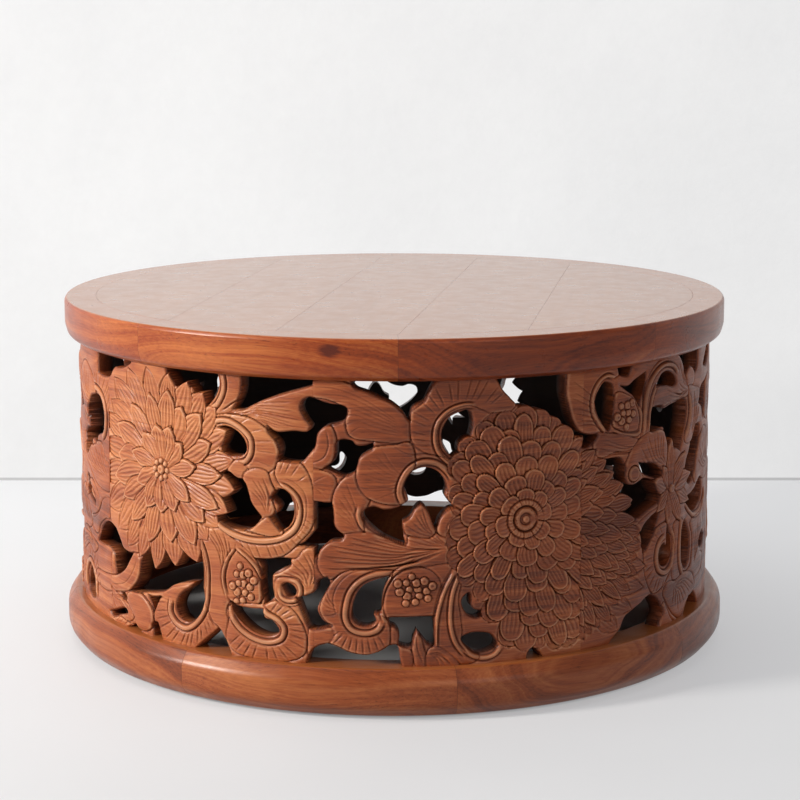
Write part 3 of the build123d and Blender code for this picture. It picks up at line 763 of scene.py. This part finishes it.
def plank_face(sheet, rows):
    """The carved face: its points as (u, z, height, hollow, D), and its faces, cut off at the wood's edge."""
    D = sheet.D[rows].copy()
    small = abs(D) < NEAREST
    D[small] = np.where(D[small] > 0, NEAREST, -NEAREST)
    wood = D > 0
    nz, nx = D.shape
    node = np.full(D.shape, -1)
    node[wood] = np.arange(wood.sum())
    values = (sheet.X[rows] - sheet.centre, sheet.Z[rows], sheet.H[rows], sheet.C[rows], D)
    have = [np.stack([v[wood] for v in values], 1)]
    count = int(wood.sum())
    crossing = []
    for dj, di in ((0, 1), (1, 0)):
        first = (slice(0, nz - dj), slice(0, nx - di))
        second = (slice(dj, nz), slice(di, nx))
        cut = wood[first] != wood[second]
        number = np.full(cut.shape, -1)
        number[cut] = count + np.arange(cut.sum())
        count += int(cut.sum())
        t = (D[first] / np.where(cut, D[first] - D[second], 1))[cut]
        have.append(np.stack([v[first][cut] * (1 - t) + v[second][cut] * t for v in values], 1))
        crossing.append(number)
    flat, up = crossing
    full = corners(wood).all(0)
    quads = corners(node)[:, full].T
    faces = []
    for j, i in zip(*np.nonzero(corners(wood).any(0) & ~full)):
        ends = (node[j, i], node[j, i + 1], node[j + 1, i + 1], node[j + 1, i])
        sides = (flat[j, i], up[j, i + 1], flat[j + 1, i], up[j, i])
        faces.append([v for pair in zip(ends, sides) for v in pair if v >= 0])
    return D, np.vstack(have), quads, faces


def plank_back(low, high, D, step, outline, rim):
    """The back, on the inside of the drum: its points as (u, z), and its triangles."""
    nz, nx = D.shape
    u, z = np.arange(-150, 151, BACK_STEP), np.arange(low + BACK_STEP / 2, high - 5, BACK_STEP)
    inner = np.stack(np.meshgrid(u, z), -1).reshape(-1, 2)
    i = np.clip(np.round((inner[:, 0] + SHEET_WIDTH / 2) / step).astype(int), 0, nx - 1)
    j = np.clip(np.round((inner[:, 1] - low) / step).astype(int), 0, nz - 1)
    inner = inner[(D[j, i] > 4) & (abs(inner[:, 0]) < SHEET_WIDTH / 2 - 3)]
    points = np.vstack([outline, inner])
    flat = [Vector(p) for p in points.tolist()]
    spots, _, tris, origin, _, _ = delaunay_2d_cdt(flat, rim.tolist(), [], 0, 1e-7)
    tris = np.array([t for t in tris if len(t) == 3])
    origin = np.array([o[0] if o else -1 for o in origin])
    middle = np.array([v[:] for v in spots])[tris].mean(1)
    tris = origin[tris[held_by(middle, outline[rim[:, 0]], outline[rim[:, 1]])]]
    return points, tris[(tris >= 0).all(1)]


def plank_mesh(sheet, low, high, name):
    """A closed mesh of the carved plank between two heights of a sheet."""
    rows = slice(int(np.argmin(abs(sheet.z - low))), int(np.argmin(abs(sheet.z - high))) + 1)
    D, face, quads, faces = plank_face(sheet, rows)
    count = len(face)
    # the rim of the face: half-edges that no other face runs back along
    edges = [np.stack([quads[:, k], quads[:, (k + 1) % 4]], 1) for k in range(4)]
    edges.append(np.array([(f[k], f[(k + 1) % len(f)]) for f in faces for k in range(len(f))]).reshape(-1, 2))
    edges = np.vstack(edges)
    key, back = edges[:, 0] * count + edges[:, 1], edges[:, 1] * count + edges[:, 0]
    rim = edges[~np.isin(key, back)]
    outline = np.unique(rim)
    behind = np.full(count, -1)
    behind[outline] = count + np.arange(len(outline))
    back_points, tris = plank_back(low, high, D, sheet.step, face[outline, :2], np.searchsorted(outline, rim))
    # all the points, and the faces as one list
    total = np.vstack([face, np.column_stack([back_points, np.zeros((len(back_points), 3))])])
    radius = np.concatenate([DRUM_RADIUS + face[:, 2], np.full(len(back_points), DRUM_INSIDE)])
    points = around(total[:, 0], total[:, 1], radius)
    sides = [[b, a, behind[a], behind[b]] for a, b in rim]
    mesh = bpy.data.meshes.new(name)
    mesh.from_pydata(points.tolist(), [], quads.tolist() + faces + sides + (tris + count)[:, ::-1].tolist())
    mesh.shade_smooth()
    mesh.set_sharp_from_angle(angle=math.radians(48))
    k = sheet.design * 3 + (low > FOOT) + (low > LOW_SEAM)
    pith = (25 * math.sin(k * 2.3), 38 + 22 * math.sin(k * 1.9))
    grain = (total[:, 0] + 900 * k, total[:, 1] - (low + high) / 2 + pith[0], radius - DRUM_RADIUS + pith[1])
    attribute(mesh, "grain", np.stack(grain, 1) / 1000)
    attribute(mesh, "hollow", total[:, 3])
    dark_from = DRUM_RADIUS - 8
    attribute(mesh, "inside", np.clip((dark_from - radius) / (dark_from - DRUM_INSIDE), 0, 1))
    return mesh


def attribute(mesh, name, values):
    """Gives each point of a mesh a number or three for its material."""
    values = np.asarray(values, np.float32)
    kind, key = ("FLOAT_VECTOR", "vector") if values.ndim == 2 else ("FLOAT", "value")
    mesh.attributes.new(name, kind, "POINT").data.foreach_set(key, values.ravel())


def piece(name, mesh, material, slot, nodes, turn=0.0, **facts):
    """A finished piece that rides on the table and stands for its CAD nodes."""
    made = bpy.data.objects.new(name, mesh)
    bpy.context.scene.collection.objects.link(made)
    if not mesh.materials:
        mesh.materials.append(material)
    made.rotation_euler.z = math.radians(turn)
    for key, value in facts.items():
        made[key] = value
    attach(made, "root")
    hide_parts(*nodes)


# ---------------------------------------------------------------- rings and boards
def rounded(profile, step=14.0):
    """The corners (r, z, radius) of a profile turned into arcs, as a closed line."""
    line = []
    n = len(profile)
    for i, (r, z, fillet) in enumerate(profile):
        p = np.array([r, z], float)
        a, b = (np.array(profile[k % n][:2], float) - p for k in (i - 1, i + 1))
        la, lb = np.hypot(*a), np.hypot(*b)
        a, b = a / la, b / lb
        half = math.acos(max(-1.0, min(1.0, float(a @ b)))) / 2
        reach = min(fillet / math.tan(half), 0.49 * la, 0.49 * lb)
        radius = reach * math.tan(half)
        middle = p + (a + b) / np.hypot(*(a + b)) * (radius / math.sin(half))
        start, end = p + a * reach - middle, p + b * reach - middle
        first = math.atan2(start[1], start[0])
        sweep = (math.atan2(end[1], end[0]) - first + math.pi) % (2 * math.pi) - math.pi
        parts = max(2, math.ceil(abs(math.degrees(sweep)) / step))
        for k in range(parts + 1):
            t = first + sweep * k / parts
            line.append((middle[0] + radius * math.cos(t), middle[1] + radius * math.sin(t)))
    full = []
    for a, b in zip(line, line[1:] + line[:1]):
        size = math.dist(a, b)
        full.append(a)
        if size > 4:  # a narrow strip at each end, so that the flat between them shades flat
            full += [tuple(p + (q - p) * t for p, q in zip(a, b)) for t in (0.5 / size, 1 - 0.5 / size)]
    return np.array(full)


def walls(rows, n, base=0):
    """Quads between rows of n points each, one row after another from the point base on."""
    for i in range(rows - 1):
        for j in range(n):
            a, b = base + i * n + j, base + i * n + (j + 1) % n
            yield a, b, b + n, a + n


def ring_mesh(name, profile, turn, seed, shades, parts=26, wobble=0.12):
    """Eight segments end to end, each sawn from its own straight board; shades are the tones at their ends,
    partly the wood's own tone and partly painted light.
    """
    line = rounded(profile)
    n = len(line)
    centre = line.mean(0)
    span = math.radians(EIGHTH)
    gap, ease = 5e-5, EASED / span  # of a segment's length
    spots = [gap, ease, 2 * ease, *np.linspace(0, 1, parts + 1)[1:-1], 1 - 2 * ease, 1 - ease, 1 - gap]
    m = len(spots)
    points, faces, grain, hollow, shade = [], [], [], [], []
    for k, (here, there) in enumerate(shades):
        start = math.radians(turn + k * EIGHTH)
        middle = start + span / 2
        base = len(points)
        pith = (55 * math.sin(k * 2.1 + seed), 45 + 25 * math.sin(k * 1.3 + seed * 2))
        for i, t in enumerate(spots):
            a = start + span * t
            inset = 0.12 if i in (0, m - 1) else 0.0
            for r, z in line:
                away = np.array([r, z]) - centre
                away /= np.hypot(*away)
                worn = abs(wobble * math.sin(a * 3 + z * 0.05 + seed) * math.sin(a * 5 + seed * 2))
                r, z = r - (inset + worn) * away[0], z - (inset + worn * 0.6) * away[1]
                points.append((r * math.cos(a) / 1000, r * math.sin(a) / 1000, z / 1000))
                along = r * math.sin(a - middle) / 1000 + k * 3.7 + seed
                across = r * math.cos(a - middle) - RING_MIDDLE
                grain.append((along, (across + pith[0]) / 1000, (z - centre[1] + pith[1]) / 1000))
                hollow.append(-6.0 * inset)
                shade.append(here + (there - here) * t)
        faces += walls(m, n, base)
        faces += [tuple(range(base, base + n))[::-1], tuple(range(base + (m - 1) * n, base + m * n))]
    mesh = solid_mesh(name, points, faces, grain, hollow)
    attribute(mesh, "shade", shade)
    return mesh


def solid_mesh(name, points, faces, grain, hollow, sharp=38):
    """A mesh with its faces turned outward, as its signed volume says."""
    mesh = bpy.data.meshes.new(name)
    mesh.from_pydata(points, [], faces)
    total = 0.0
    for f in mesh.polygons:
        v = [mesh.vertices[k].co for k in f.vertices]
        total += sum(v[0].dot(v[i].cross(v[i + 1])) for i in range(1, len(v) - 1))
    if total < 0:
        mesh.flip_normals()
    mesh.shade_smooth()
    mesh.set_sharp_from_angle(angle=math.radians(sharp))
    attribute(mesh, "grain", grain)
    attribute(mesh, "hollow", hollow)
    return mesh


def board_mesh(name, low, high, seed):
    """One board of the top, with arrises just eased; low and high are its edges across the grain."""
    R, gap = FIELD_RADIUS, 0.04
    lo = -R if low is None else low + gap
    hi = R if high is None else high - gap

    def outline(inset):
        r = R - inset
        a, b = max(lo + inset, -r), min(hi - inset, r)
        turns = np.linspace(math.asin(a / r), math.asin(b / r), 60)
        side = [(r * math.sin(t), r * math.cos(t)) for t in turns]
        line = side + [(x, -y) for x, y in side[::-1]]
        return [p for i, p in enumerate(line) if math.dist(p, line[i - 1]) > 1e-3]

    levels = ((0.0, BOARD_LOW), (0.0, TOP - 0.22), (0.06, TOP - 0.06), (0.22, TOP))
    lines = [outline(inset) for inset, _ in levels]
    n = len(lines[0])
    turn = math.radians(BOARD_TURN)
    c, s = math.cos(turn), math.sin(turn)
    pith = (30 * math.sin(seed * 2.3), -38 - 22 * math.sin(seed * 1.7))
    points, grain, hollow = [], [], []
    for line, (_, z) in zip(lines, levels):
        for x, y in line:
            points.append(((x * c - y * s) / 1000, (x * s + y * c) / 1000, z / 1000))
            across, up = x - (lo + hi) / 2 + pith[0], z - TOP + pith[1]
            grain.append((y / 1000 + seed * 5.1, across / 1000, up / 1000))
            hollow.append(-0.5 if z < TOP - 0.5 else 0.0)
    faces = [tuple(range(n))[::-1], tuple(range(3 * n, 4 * n)), *walls(4, n)]
    return solid_mesh(name, points, faces, grain, hollow, 15)


# ---------------------------------------------------------------- materials
class Wire:
    """What comes out of a node, so that sums of values are written as sums."""

    def __init__(self, tree, socket):
        self.tree, self.socket = tree, socket

    def __add__(self, other):
        return self.tree.maths("ADD", self, other)

    def __sub__(self, other):
        return self.tree.maths("SUBTRACT", self, other)

    def __mul__(self, other):
        return self.tree.maths("MULTIPLY", self, other)


class Tree:
    """A material's nodes, wired a call at a time."""

    def __init__(self, name):
        self.material = bpy.data.materials.new(name)
        self.material.use_nodes = True
        self.nodes, self.links = self.material.node_tree.nodes, self.material.node_tree.links
        self.shader = self.nodes["Principled BSDF"]

    def node(self, kind, out=0, settings=None, **inputs):
        """Adds a node; an input is given by its name, or by i and its number."""
        n = self.nodes.new("ShaderNode" + kind)
        for key, value in (settings or {}).items():
            setattr(n, key, value)
        for key, value in inputs.items():
            self.put(value, n.inputs[int(key[1:]) if key[1:].isdigit() else key.replace("_", " ")])
        return Wire(self, n.outputs[out])

    def put(self, value, socket):
        if isinstance(value, Wire):
            self.links.new(value.socket, socket)
        else:
            socket.default_value = value

    def maths(self, operation, a, b):
        return self.node("Math", 0, {"operation": operation}, i0=a, i1=b)

    def vector(self, operation, a, b=(0, 0, 0), out="Vector"):
        return self.node("VectorMath", out, {"operation": operation}, i0=a, i1=b)

    def stretch(self, vector, *by):
        return self.vector("MULTIPLY", vector, by)

    def join(self, x, y=0.0):
        return self.node("CombineXYZ", X=x, Y=y)

    def fact(self, name, out="Fac", kind="GEOMETRY"):
        """A value that the mesh or the piece carries."""
        return self.node("Attribute", out, {"attribute_name": name, "attribute_type": kind})

    def span(self, value, a, b, c=0.0, d=1.0):
        """Maps a value from a..b to c..d, and stops at both ends."""
        return self.node("MapRange", Value=value, From_Min=a, From_Max=b, To_Min=c, To_Max=d)

    def noise(self, vector, scale, detail=3.0, rough=0.55, distort=0.0, out=0):
        values = {"Scale": scale, "Detail": detail, "Roughness": rough, "Distortion": distort}
        return self.node("TexNoise", out, Vector=vector, **values)

    def mix(self, factor, a, b):
        """From colour a to colour b."""
        n = self.nodes.new("ShaderNodeMix")
        n.data_type = "RGBA"
        for value, at in ((factor, 0), (a, 6), (b, 7)):
            self.put(value, n.inputs[at])
        return Wire(self, n.outputs[2])

    def ramp(self, factor, *stops):
        n = self.nodes.new("ShaderNodeValToRGB")
        while len(n.color_ramp.elements) < len(stops):
            n.color_ramp.elements.new(0.5)
        for e, (at, colour) in zip(n.color_ramp.elements, stops):
            e.position, e.color = at, (*colour, 1)
        self.put(factor, n.inputs[0])
        return Wire(self, n.outputs[0])

    def surface(self, **values):
        """Sets inputs of the Principled shader."""
        for key, value in values.items():
            self.put(value, self.shader.inputs[key.replace("_", " ")])
        return self.material

    def finish(self, shader):
        """Puts another shader in the place of the Principled one."""
        self.put(shader, self.nodes["Material Output"].inputs["Surface"])
        return self.material


# colours mixed in: a paler one for what faces up, a painted sheen; a lighter one for raised carving, partly
# worn lacquer and partly a painted highlight; a near black one for the inside of the drum, a painted shade
PAINTED_SHEEN_COLOUR, WORN_AND_HIGHLIGHT, UNLIT = (0.46, 0.20, 0.05, 1), (0.66, 0.31, 0.155, 1), (0.010, 0.0045, 0.0025, 1)
KNOT_LENGTH = 0.6  # less than 1: longer along the grain than across


def wood(
    name, dark, mid, light, rough, coat, carved=False, plain=False, turn=0.0, bump=0.25, sheen=0.2, gleam=0.5,
    top_coat=0.0, painted_sheen=0.5, knot=None,
):
    """Sheesham under lacquer: growth rings round a pith, fibres, pores and slow changes of tone, and painted
    shade, highlights and sheen.
    """
    t = Tree(name)
    if plain:  # a piece of the CAD, which has no grain of its own: x is along it, the pith below
        where, back = t.node("TexCoord", "Object"), math.radians(-turn)
        where = t.node("VectorRotate", 0, {"rotation_type": "Z_AXIS"}, Vector=where, Angle=back)
    else:
        where = t.fact("grain", "Vector")
    tone = t.fact("tone", kind="OBJECT")
    where = t.vector("ADD", where, t.join(t.fact("lot", kind="OBJECT")))
    warp = t.noise(t.stretch(where, 3.0, 9.0, 9.0), 1.0, 2.0, 0.5, out="Color")
    bent = t.vector("ADD", where, t.stretch(t.vector("SUBTRACT", warp, (0.5, 0.5, 0.5)), 0.0, 0.05, 0.05))
    across = t.vector("LENGTH", t.stretch(bent, 0.0, 1.0, 1.0), out="Value")
    along = t.node("SeparateXYZ", "X", Vector=where)
    rings = t.span(t.noise(t.join(across * 105.0, along * 1.1), 1.0, 3.0, 0.62), 0.34, 0.66)
    late = t.span(t.noise(t.join(across * 520.0, along * 5.0), 1.0, 2.0, 0.6), 0.3, 0.7)
    fine = t.noise(t.stretch(bent, 11.0, 480.0, 420.0), 1.0, 3.0, 0.6)
    fibre = t.noise(t.stretch(where, 45.0, 1500.0, 1300.0), 1.0, 2.0, 0.5)
    patch = t.noise(t.stretch(where, 5.0, 11.0, 11.0), 1.0, 2.0, 0.5)
    pores = t.noise(t.stretch(where, 90.0, 1300.0, 1000.0), 1.0, 1.0, 0.5)
    pores = t.span(pores, 0.62, 0.70) * t.span(rings, 0.2, 0.7, 1.0, 0.3)
    value = rings * 0.34 + late * 0.16 + t.span(fine, 0.3, 0.7) * 0.20
    value = value + t.span(patch, 0.3, 0.7) * 0.30 + (tone - 0.5)
    if carved:
        value = value + t.span(fibre, 0.3, 0.7, -0.5, 0.5) * 0.16
    if top_coat:  # what faces up has more lacquer, and is painted evener in tone and paler: a painted sheen
        up = t.node("SeparateXYZ", "Z", Vector=t.node("NewGeometry", "Normal"))

        def facing(side, top):
            return t.span(up, 0.75, 0.98, side, top)

        value = (value + t.fact("shade") - 0.5) * facing(1.0, 0.35) + facing(0.5, 0.62)
        coat, sheen = facing(coat, top_coat), facing(0.36, sheen)
        pores = pores * facing(1.0, 0.25)
    if knot:
        away = t.vector("DISTANCE", t.stretch(where, KNOT_LENGTH, 1.0, 1.0), knot, out="Value")
        value = value - t.span(away, 0.0015, 0.009, 0.6, 0.0)
    colour = t.ramp(value, (0.14, dark), (0.5, mid), (0.88, light))
    colour = t.mix(pores * 0.6, colour, (*(c * 0.4 for c in dark), 1))
    if top_coat:
        # paler where it faces up: a painted sheen
        colour = t.mix(facing(0.0, painted_sheen), colour, PAINTED_SHEEN_COLOUR)
    gloss = t.span(t.noise(where, 38.0, 3.0, 0.6), 0.3, 0.7, *rough)
    height = fibre * 0.35 + fine * 0.45 - pores * 0.7
    if not plain:
        hollow = t.fact("hollow")
        # darker in hollows: a painted shade in the recesses of the carving, and the dark joints at the ends of
        # the ring segments and along the sides of the boards
        shade_and_joint_darkening = t.span(hollow, -0.06, -0.95)
        colour = t.mix(shade_and_joint_darkening * 0.72, colour, (*(c * 0.22 for c in dark), 1))
        gloss = gloss + shade_and_joint_darkening * 0.25
    if carved:
        # lighter on the raised edges and lips of the carving: partly worn lacquer, partly a painted highlight
        worn_and_highlit = t.span(tone, 0.34, 0.62, 0.4, 0.85) * t.span(patch, 0.35, 0.65, 0.5, 1.0)
        colour = t.mix(t.span(hollow, 0.12, 0.6) * worn_and_highlit, colour, WORN_AND_HIGHLIGHT)
        colour = t.mix(t.span(t.fact("inside"), 0.12, 0.95, 0.0, 0.93), colour, UNLIT)
        height = height + t.noise(t.stretch(where, 240.0, 520.0, 300.0), 1.0, 3.0, 0.6) * 0.6
    normal = t.node("Bump", Height=height, Strength=bump, Distance=0.0006)
    return t.surface(
        Base_Color=colour, Roughness=gloss, Normal=normal,
        Coat_Weight=coat, Coat_Roughness=sheen, Specular_IOR_Level=gleam,
    )


def felt(name):
    """The dark pads, with a fuzz."""
    t = Tree(name)
    fuzz = t.noise(t.node("TexCoord", "Object"), 900.0, 4.0, 0.7)
    colour = t.ramp(fuzz, (0.25, (0.012, 0.009, 0.008)), (0.75, (0.045, 0.035, 0.03)))
    normal = t.node("Bump", Height=fuzz, Strength=0.6, Distance=0.0008)
    return t.surface(Base_Color=colour, Roughness=t.span(fuzz, 0.2, 0.8, 0.85, 1.0), Normal=normal)


def seen(t, colour, glow):
    """Adds a plain glow that only the camera, mirrors and glass see."""
    camera = t.node("LightPath", "Is Camera Ray")
    mirrors, glass = t.node("LightPath", "Is Glossy Ray"), t.node("LightPath", "Is Transmission Ray")
    total = t.maths("MINIMUM", camera + (mirrors + glass), 1.0)
    light = t.node("Emission", Color=colour, Strength=total * glow)
    return t.node("AddShader", i0=Wire(t, t.shader.outputs[0]), i1=light)


def floor_material():
    """A pale floor that keeps the table's shadow; its glow, a painted light that grows toward the back, starts
    past the edge of the base, so that the floor under and inside the drum is left in shade.
    """
    t = Tree("studio floor")
    where = t.node("TexCoord", "Object")
    cloud = t.noise(where, 1.3, 3.0, 0.5)
    colour = t.ramp(cloud, (0.3, (0.385, 0.385, 0.39)), (0.7, (0.41, 0.41, 0.415)))
    bright = t.ramp(cloud, (0.3, (0.93, 0.935, 0.95)), (0.7, (0.97, 0.975, 0.99)))
    t.surface(Base_Color=colour, Roughness=t.span(cloud, 0.3, 0.7, 0.55, 0.7))
    away = t.vector("LENGTH", t.stretch(where, 1.0, 1.0, 0.0), out="Value")
    back = t.node("SeparateXYZ", "Y", Vector=where)
    return t.finish(seen(t, bright, t.span(away, 0.374, 0.394) * t.span(back, -0.55, 0.65, 0.38, 0.53)))


def wall_material(name, strength):
    """Pale plaster, and nothing from behind, so that the views from the back see the table."""
    t = Tree(name)
    where = t.node("TexCoord", "Object")
    cloud = t.noise(where, 2.2, 4.0, 0.55, 0.4)
    fine = t.noise(where, 38.0, 5.0, 0.62)
    mixed = cloud * 0.75 + fine * 0.25
    colour = t.ramp(mixed, (0.3, (0.18, 0.18, 0.18)), (0.7, (0.205, 0.205, 0.206)))
    bright = t.ramp(mixed, (0.3, (0.93, 0.93, 0.935)), (0.7, (1.0, 1.0, 1.0)))
    normal = t.node("Bump", Height=fine + cloud, Strength=0.35, Distance=0.004)
    t.surface(Base_Color=colour, Roughness=0.8, Normal=normal)
    clear = t.node("BsdfTransparent")
    back = t.node("NewGeometry", "Backfacing")
    return t.finish(t.node("MixShader", i0=back, i1=seen(t, bright, strength), i2=clear))


# ---------------------------------------------------------------- the table
KNOT = (KNOT_LENGTH * 19.5855, -0.0312, 0.0755)  # in the grain's coordinates, on the top ring's sixth segment
TOP_FINISH = {"sheen": 0.16, "top_coat": 0.74}
carved_wood = wood(
    "carved sheesham", (0.125, 0.022, 0.006), (0.335, 0.075, 0.020), (0.550, 0.188, 0.062), (0.36, 0.52),
    0.10, carved=True, bump=0.35, sheen=0.25, gleam=0.35,
)
rim_wood = wood(
    "rim sheesham", (0.105, 0.015, 0.004), (0.300, 0.051, 0.009), (0.500, 0.142, 0.034), (0.26, 0.36), 0.30,
    bump=0.12, gleam=0.22, knot=KNOT, **TOP_FINISH,
)
base_wood = wood(
    "base sheesham", (0.100, 0.017, 0.004), (0.270, 0.058, 0.014), (0.455, 0.140, 0.042), (0.28, 0.42), 0.22,
    bump=0.18, gleam=0.25, top_coat=0.3, painted_sheen=0.15,
)
top_wood = wood(
    "top sheesham", (0.105, 0.018, 0.005), (0.290, 0.064, 0.016), (0.480, 0.150, 0.045), (0.26, 0.36), 0.12,
    bump=0.06, gleam=0.3, **TOP_FINISH,
)
batten_wood = wood(
    "batten wood", (0.16, 0.05, 0.02), (0.31, 0.11, 0.045), (0.44, 0.19, 0.085), (0.5, 0.65), 0.0,
    plain=True, turn=BOARD_TURN, bump=0.35,
)
hidden_wood = wood(
    "tenon wood", (0.22, 0.10, 0.045), (0.40, 0.21, 0.10), (0.52, 0.30, 0.16), (0.6, 0.75), 0.0,
    plain=True, bump=0.4,
)
pad_felt = felt("felt")

for design in range(4):
    sheet = Sheet(design)
    draw(sheet)
    sheet.finish()
    for row, (label, low, high) in enumerate(PLANKS):
        mesh = plank_mesh(sheet, low, high, f"plank_{design + 1}_{label}")
        for number in (design + 1, design + 5):
            node, k = f"panel_{number}_{label}", number * 3 + row
            tone = TONES[design] + 0.05 * math.sin(k * 2.4)
            turn = (number - FRONT_PANEL) * EIGHTH
            piece(f"{node}_carved", mesh, carved_wood, "carved_wood", [node], turn, tone=tone, lot=k * 1.37)

# the tones at the two ends of each ring segment: partly the wood's own tone, partly painted light that makes
# the segments at the front lighter toward the key lamp and darker away from it
TOP_TONES_AND_LIGHT = (
    (0.0, 0.03), (0.03, 0.0), (-0.02, 0.01), (0.02, 0.0),
    (0.0, 0.03), (0.17, 0.0), (-0.03, -0.07), (-0.02, 0.0),
)
BASE_TONES_AND_LIGHT = (
    (0.0, 0.02), (0.02, 0.0), (-0.02, 0.0), (0.0, 0.02),
    (0.02, 0.03), (0.07, 0.04), (-0.01, -0.03), (0.02, 0.03),
)
top_ring = ring_mesh("top_ring", RIM_PROFILE, TOP_TURN, 1, TOP_TONES_AND_LIGHT)
base_ring = ring_mesh("base_ring", BASE_PROFILE, 0, 2, BASE_TONES_AND_LIGHT)
piece("top_ring", top_ring, rim_wood, "rim_wood", ["rim_segments"], tone=0.5, lot=0.0)
piece("base_ring", base_ring, base_wood, "base_wood", ["base_segments"], tone=0.5, lot=0.0)
edges = (None, *BOARD_JOINTS, None)
for k in range(5):
    mesh = board_mesh(f"board_{k + 1}", edges[k], edges[k + 1], k + 1)
    tone = 0.5 + 0.05 * math.sin(k * 1.9)
    piece(f"board_{k + 1}", mesh, top_wood, "top_wood", [f"top_board_{k + 1}"], tone=tone, lot=0.0)

# the pieces of the CAD that stay as they are
for name, o in NODES.items():
    material = None
    if name.startswith("batten"):
        material = batten_wood
    elif name.endswith("tenons"):
        material = hidden_wood
    elif name == "felt_pads":
        material = pad_felt
    if material:
        o["tone"], o["lot"] = 0.5, 0.37
        for s in o.material_slots:
            s.material = material
        if not o.material_slots:
            o.data.materials.append(material)

# ---------------------------------------------------------------- studio
VIEW = math.radians(9.7)  # the camera looks this much to the right of +Y
AHEAD = Vector((math.sin(VIEW), math.cos(VIEW), 0))
RIGHT = Vector((math.cos(VIEW), -math.sin(VIEW), 0))
WALL_AT, WALL_TALL, WALL_GLOW = 0.784, 4.0, 0.70  # a glow of 1 is white
SHADOW_LINE_AT, SHADOW_LINE_TALL, SHADOW_LINE_GLOW = WALL_AT - 0.002, 0.0045, 0.42  # a painted shadow: a dimmer strip where wall and floor meet


def spot(right, ahead, up=0.0):
    """A place as the camera sees it: to the right of the table's middle, beyond it and above the floor."""
    return RIGHT * right + AHEAD * ahead + Vector((0, 0, up))


def plane(name, points, material):
    mesh = bpy.data.meshes.new(name)
    mesh.from_pydata([tuple(p) for p in points], [], [(0, 1, 2, 3)])
    mesh.materials.append(material)
    made = bpy.data.objects.new(name, mesh)
    bpy.context.scene.collection.objects.link(made)
    made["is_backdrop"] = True


plane("floor", [spot(x, WALL_AT + y) for x, y in ((-9, -9), (9, -9), (9, 9), (-9, 9))], floor_material())
# the wall, and a dimmer strip in front of its foot: a painted shadow line
for name, ahead, tall, glow in (
    ("wall", WALL_AT, WALL_TALL, WALL_GLOW),
    ("painted shadow line", SHADOW_LINE_AT, SHADOW_LINE_TALL, SHADOW_LINE_GLOW),
):
    outline = [spot(x, ahead, z) for x, z in ((-6, 0), (6, 0), (6, tall), (-6, tall))]
    plane(name, outline, wall_material(name, glow))

for name, place, target, size, power, colour in (
    ("key", (-3.0, -1.35, 1.55), (0, 0, 0.2), (0.6, 0.5), 128, (1.0, 0.97, 0.92)),
    ("fill", (1.6, -3.2, 1.6), (0, 0, 0.2), (2.4, 2.0), 17, (0.96, 0.98, 1.0)),
    ("overhead", (-0.6, 0.1, 3.0), (0, 0.2, 0.3), (2.6, 2.0), 30, (1.0, 0.99, 0.97)),
):
    data = bpy.data.lights.new(name, "AREA")
    data.shape, data.size, data.size_y = "RECTANGLE", *size
    data.energy, data.color = power, colour
    lamp = bpy.data.objects.new(name, data)
    lamp.location = spot(*place)
    lamp.rotation_euler = (Vector(target) - lamp.location).to_track_quat("-Z", "Y").to_euler()
    bpy.context.scene.collection.objects.link(lamp)

world = bpy.data.worlds.new("studio")
world.use_nodes = True
world.node_tree.nodes["Background"].inputs["Color"].default_value = (0.93, 0.95, 1.0, 1)
world.node_tree.nodes["Background"].inputs["Strength"].default_value = 0.28
bpy.context.scene.world = world

# fitted to the photograph: the edges of the top ring, its joint with the wall and the foot of the base
camera = bpy.data.objects.new("camera", bpy.data.cameras.new("camera"))
camera.data.lens, camera.data.sensor_width = 93.52, 36.0
camera.data.shift_y = -0.12
camera.data.clip_start, camera.data.clip_end = 0.1, 60.0
camera.location = spot(0.00685, -2.5687, 0.7543)
camera.rotation_euler = (math.pi / 2 - 0.1368, 0, -VIEW)
bpy.context.scene.collection.objects.link(camera)
bpy.context.scene.camera = camera
bpy.context.scene.view_settings.view_transform = "Standard"

low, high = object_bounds()
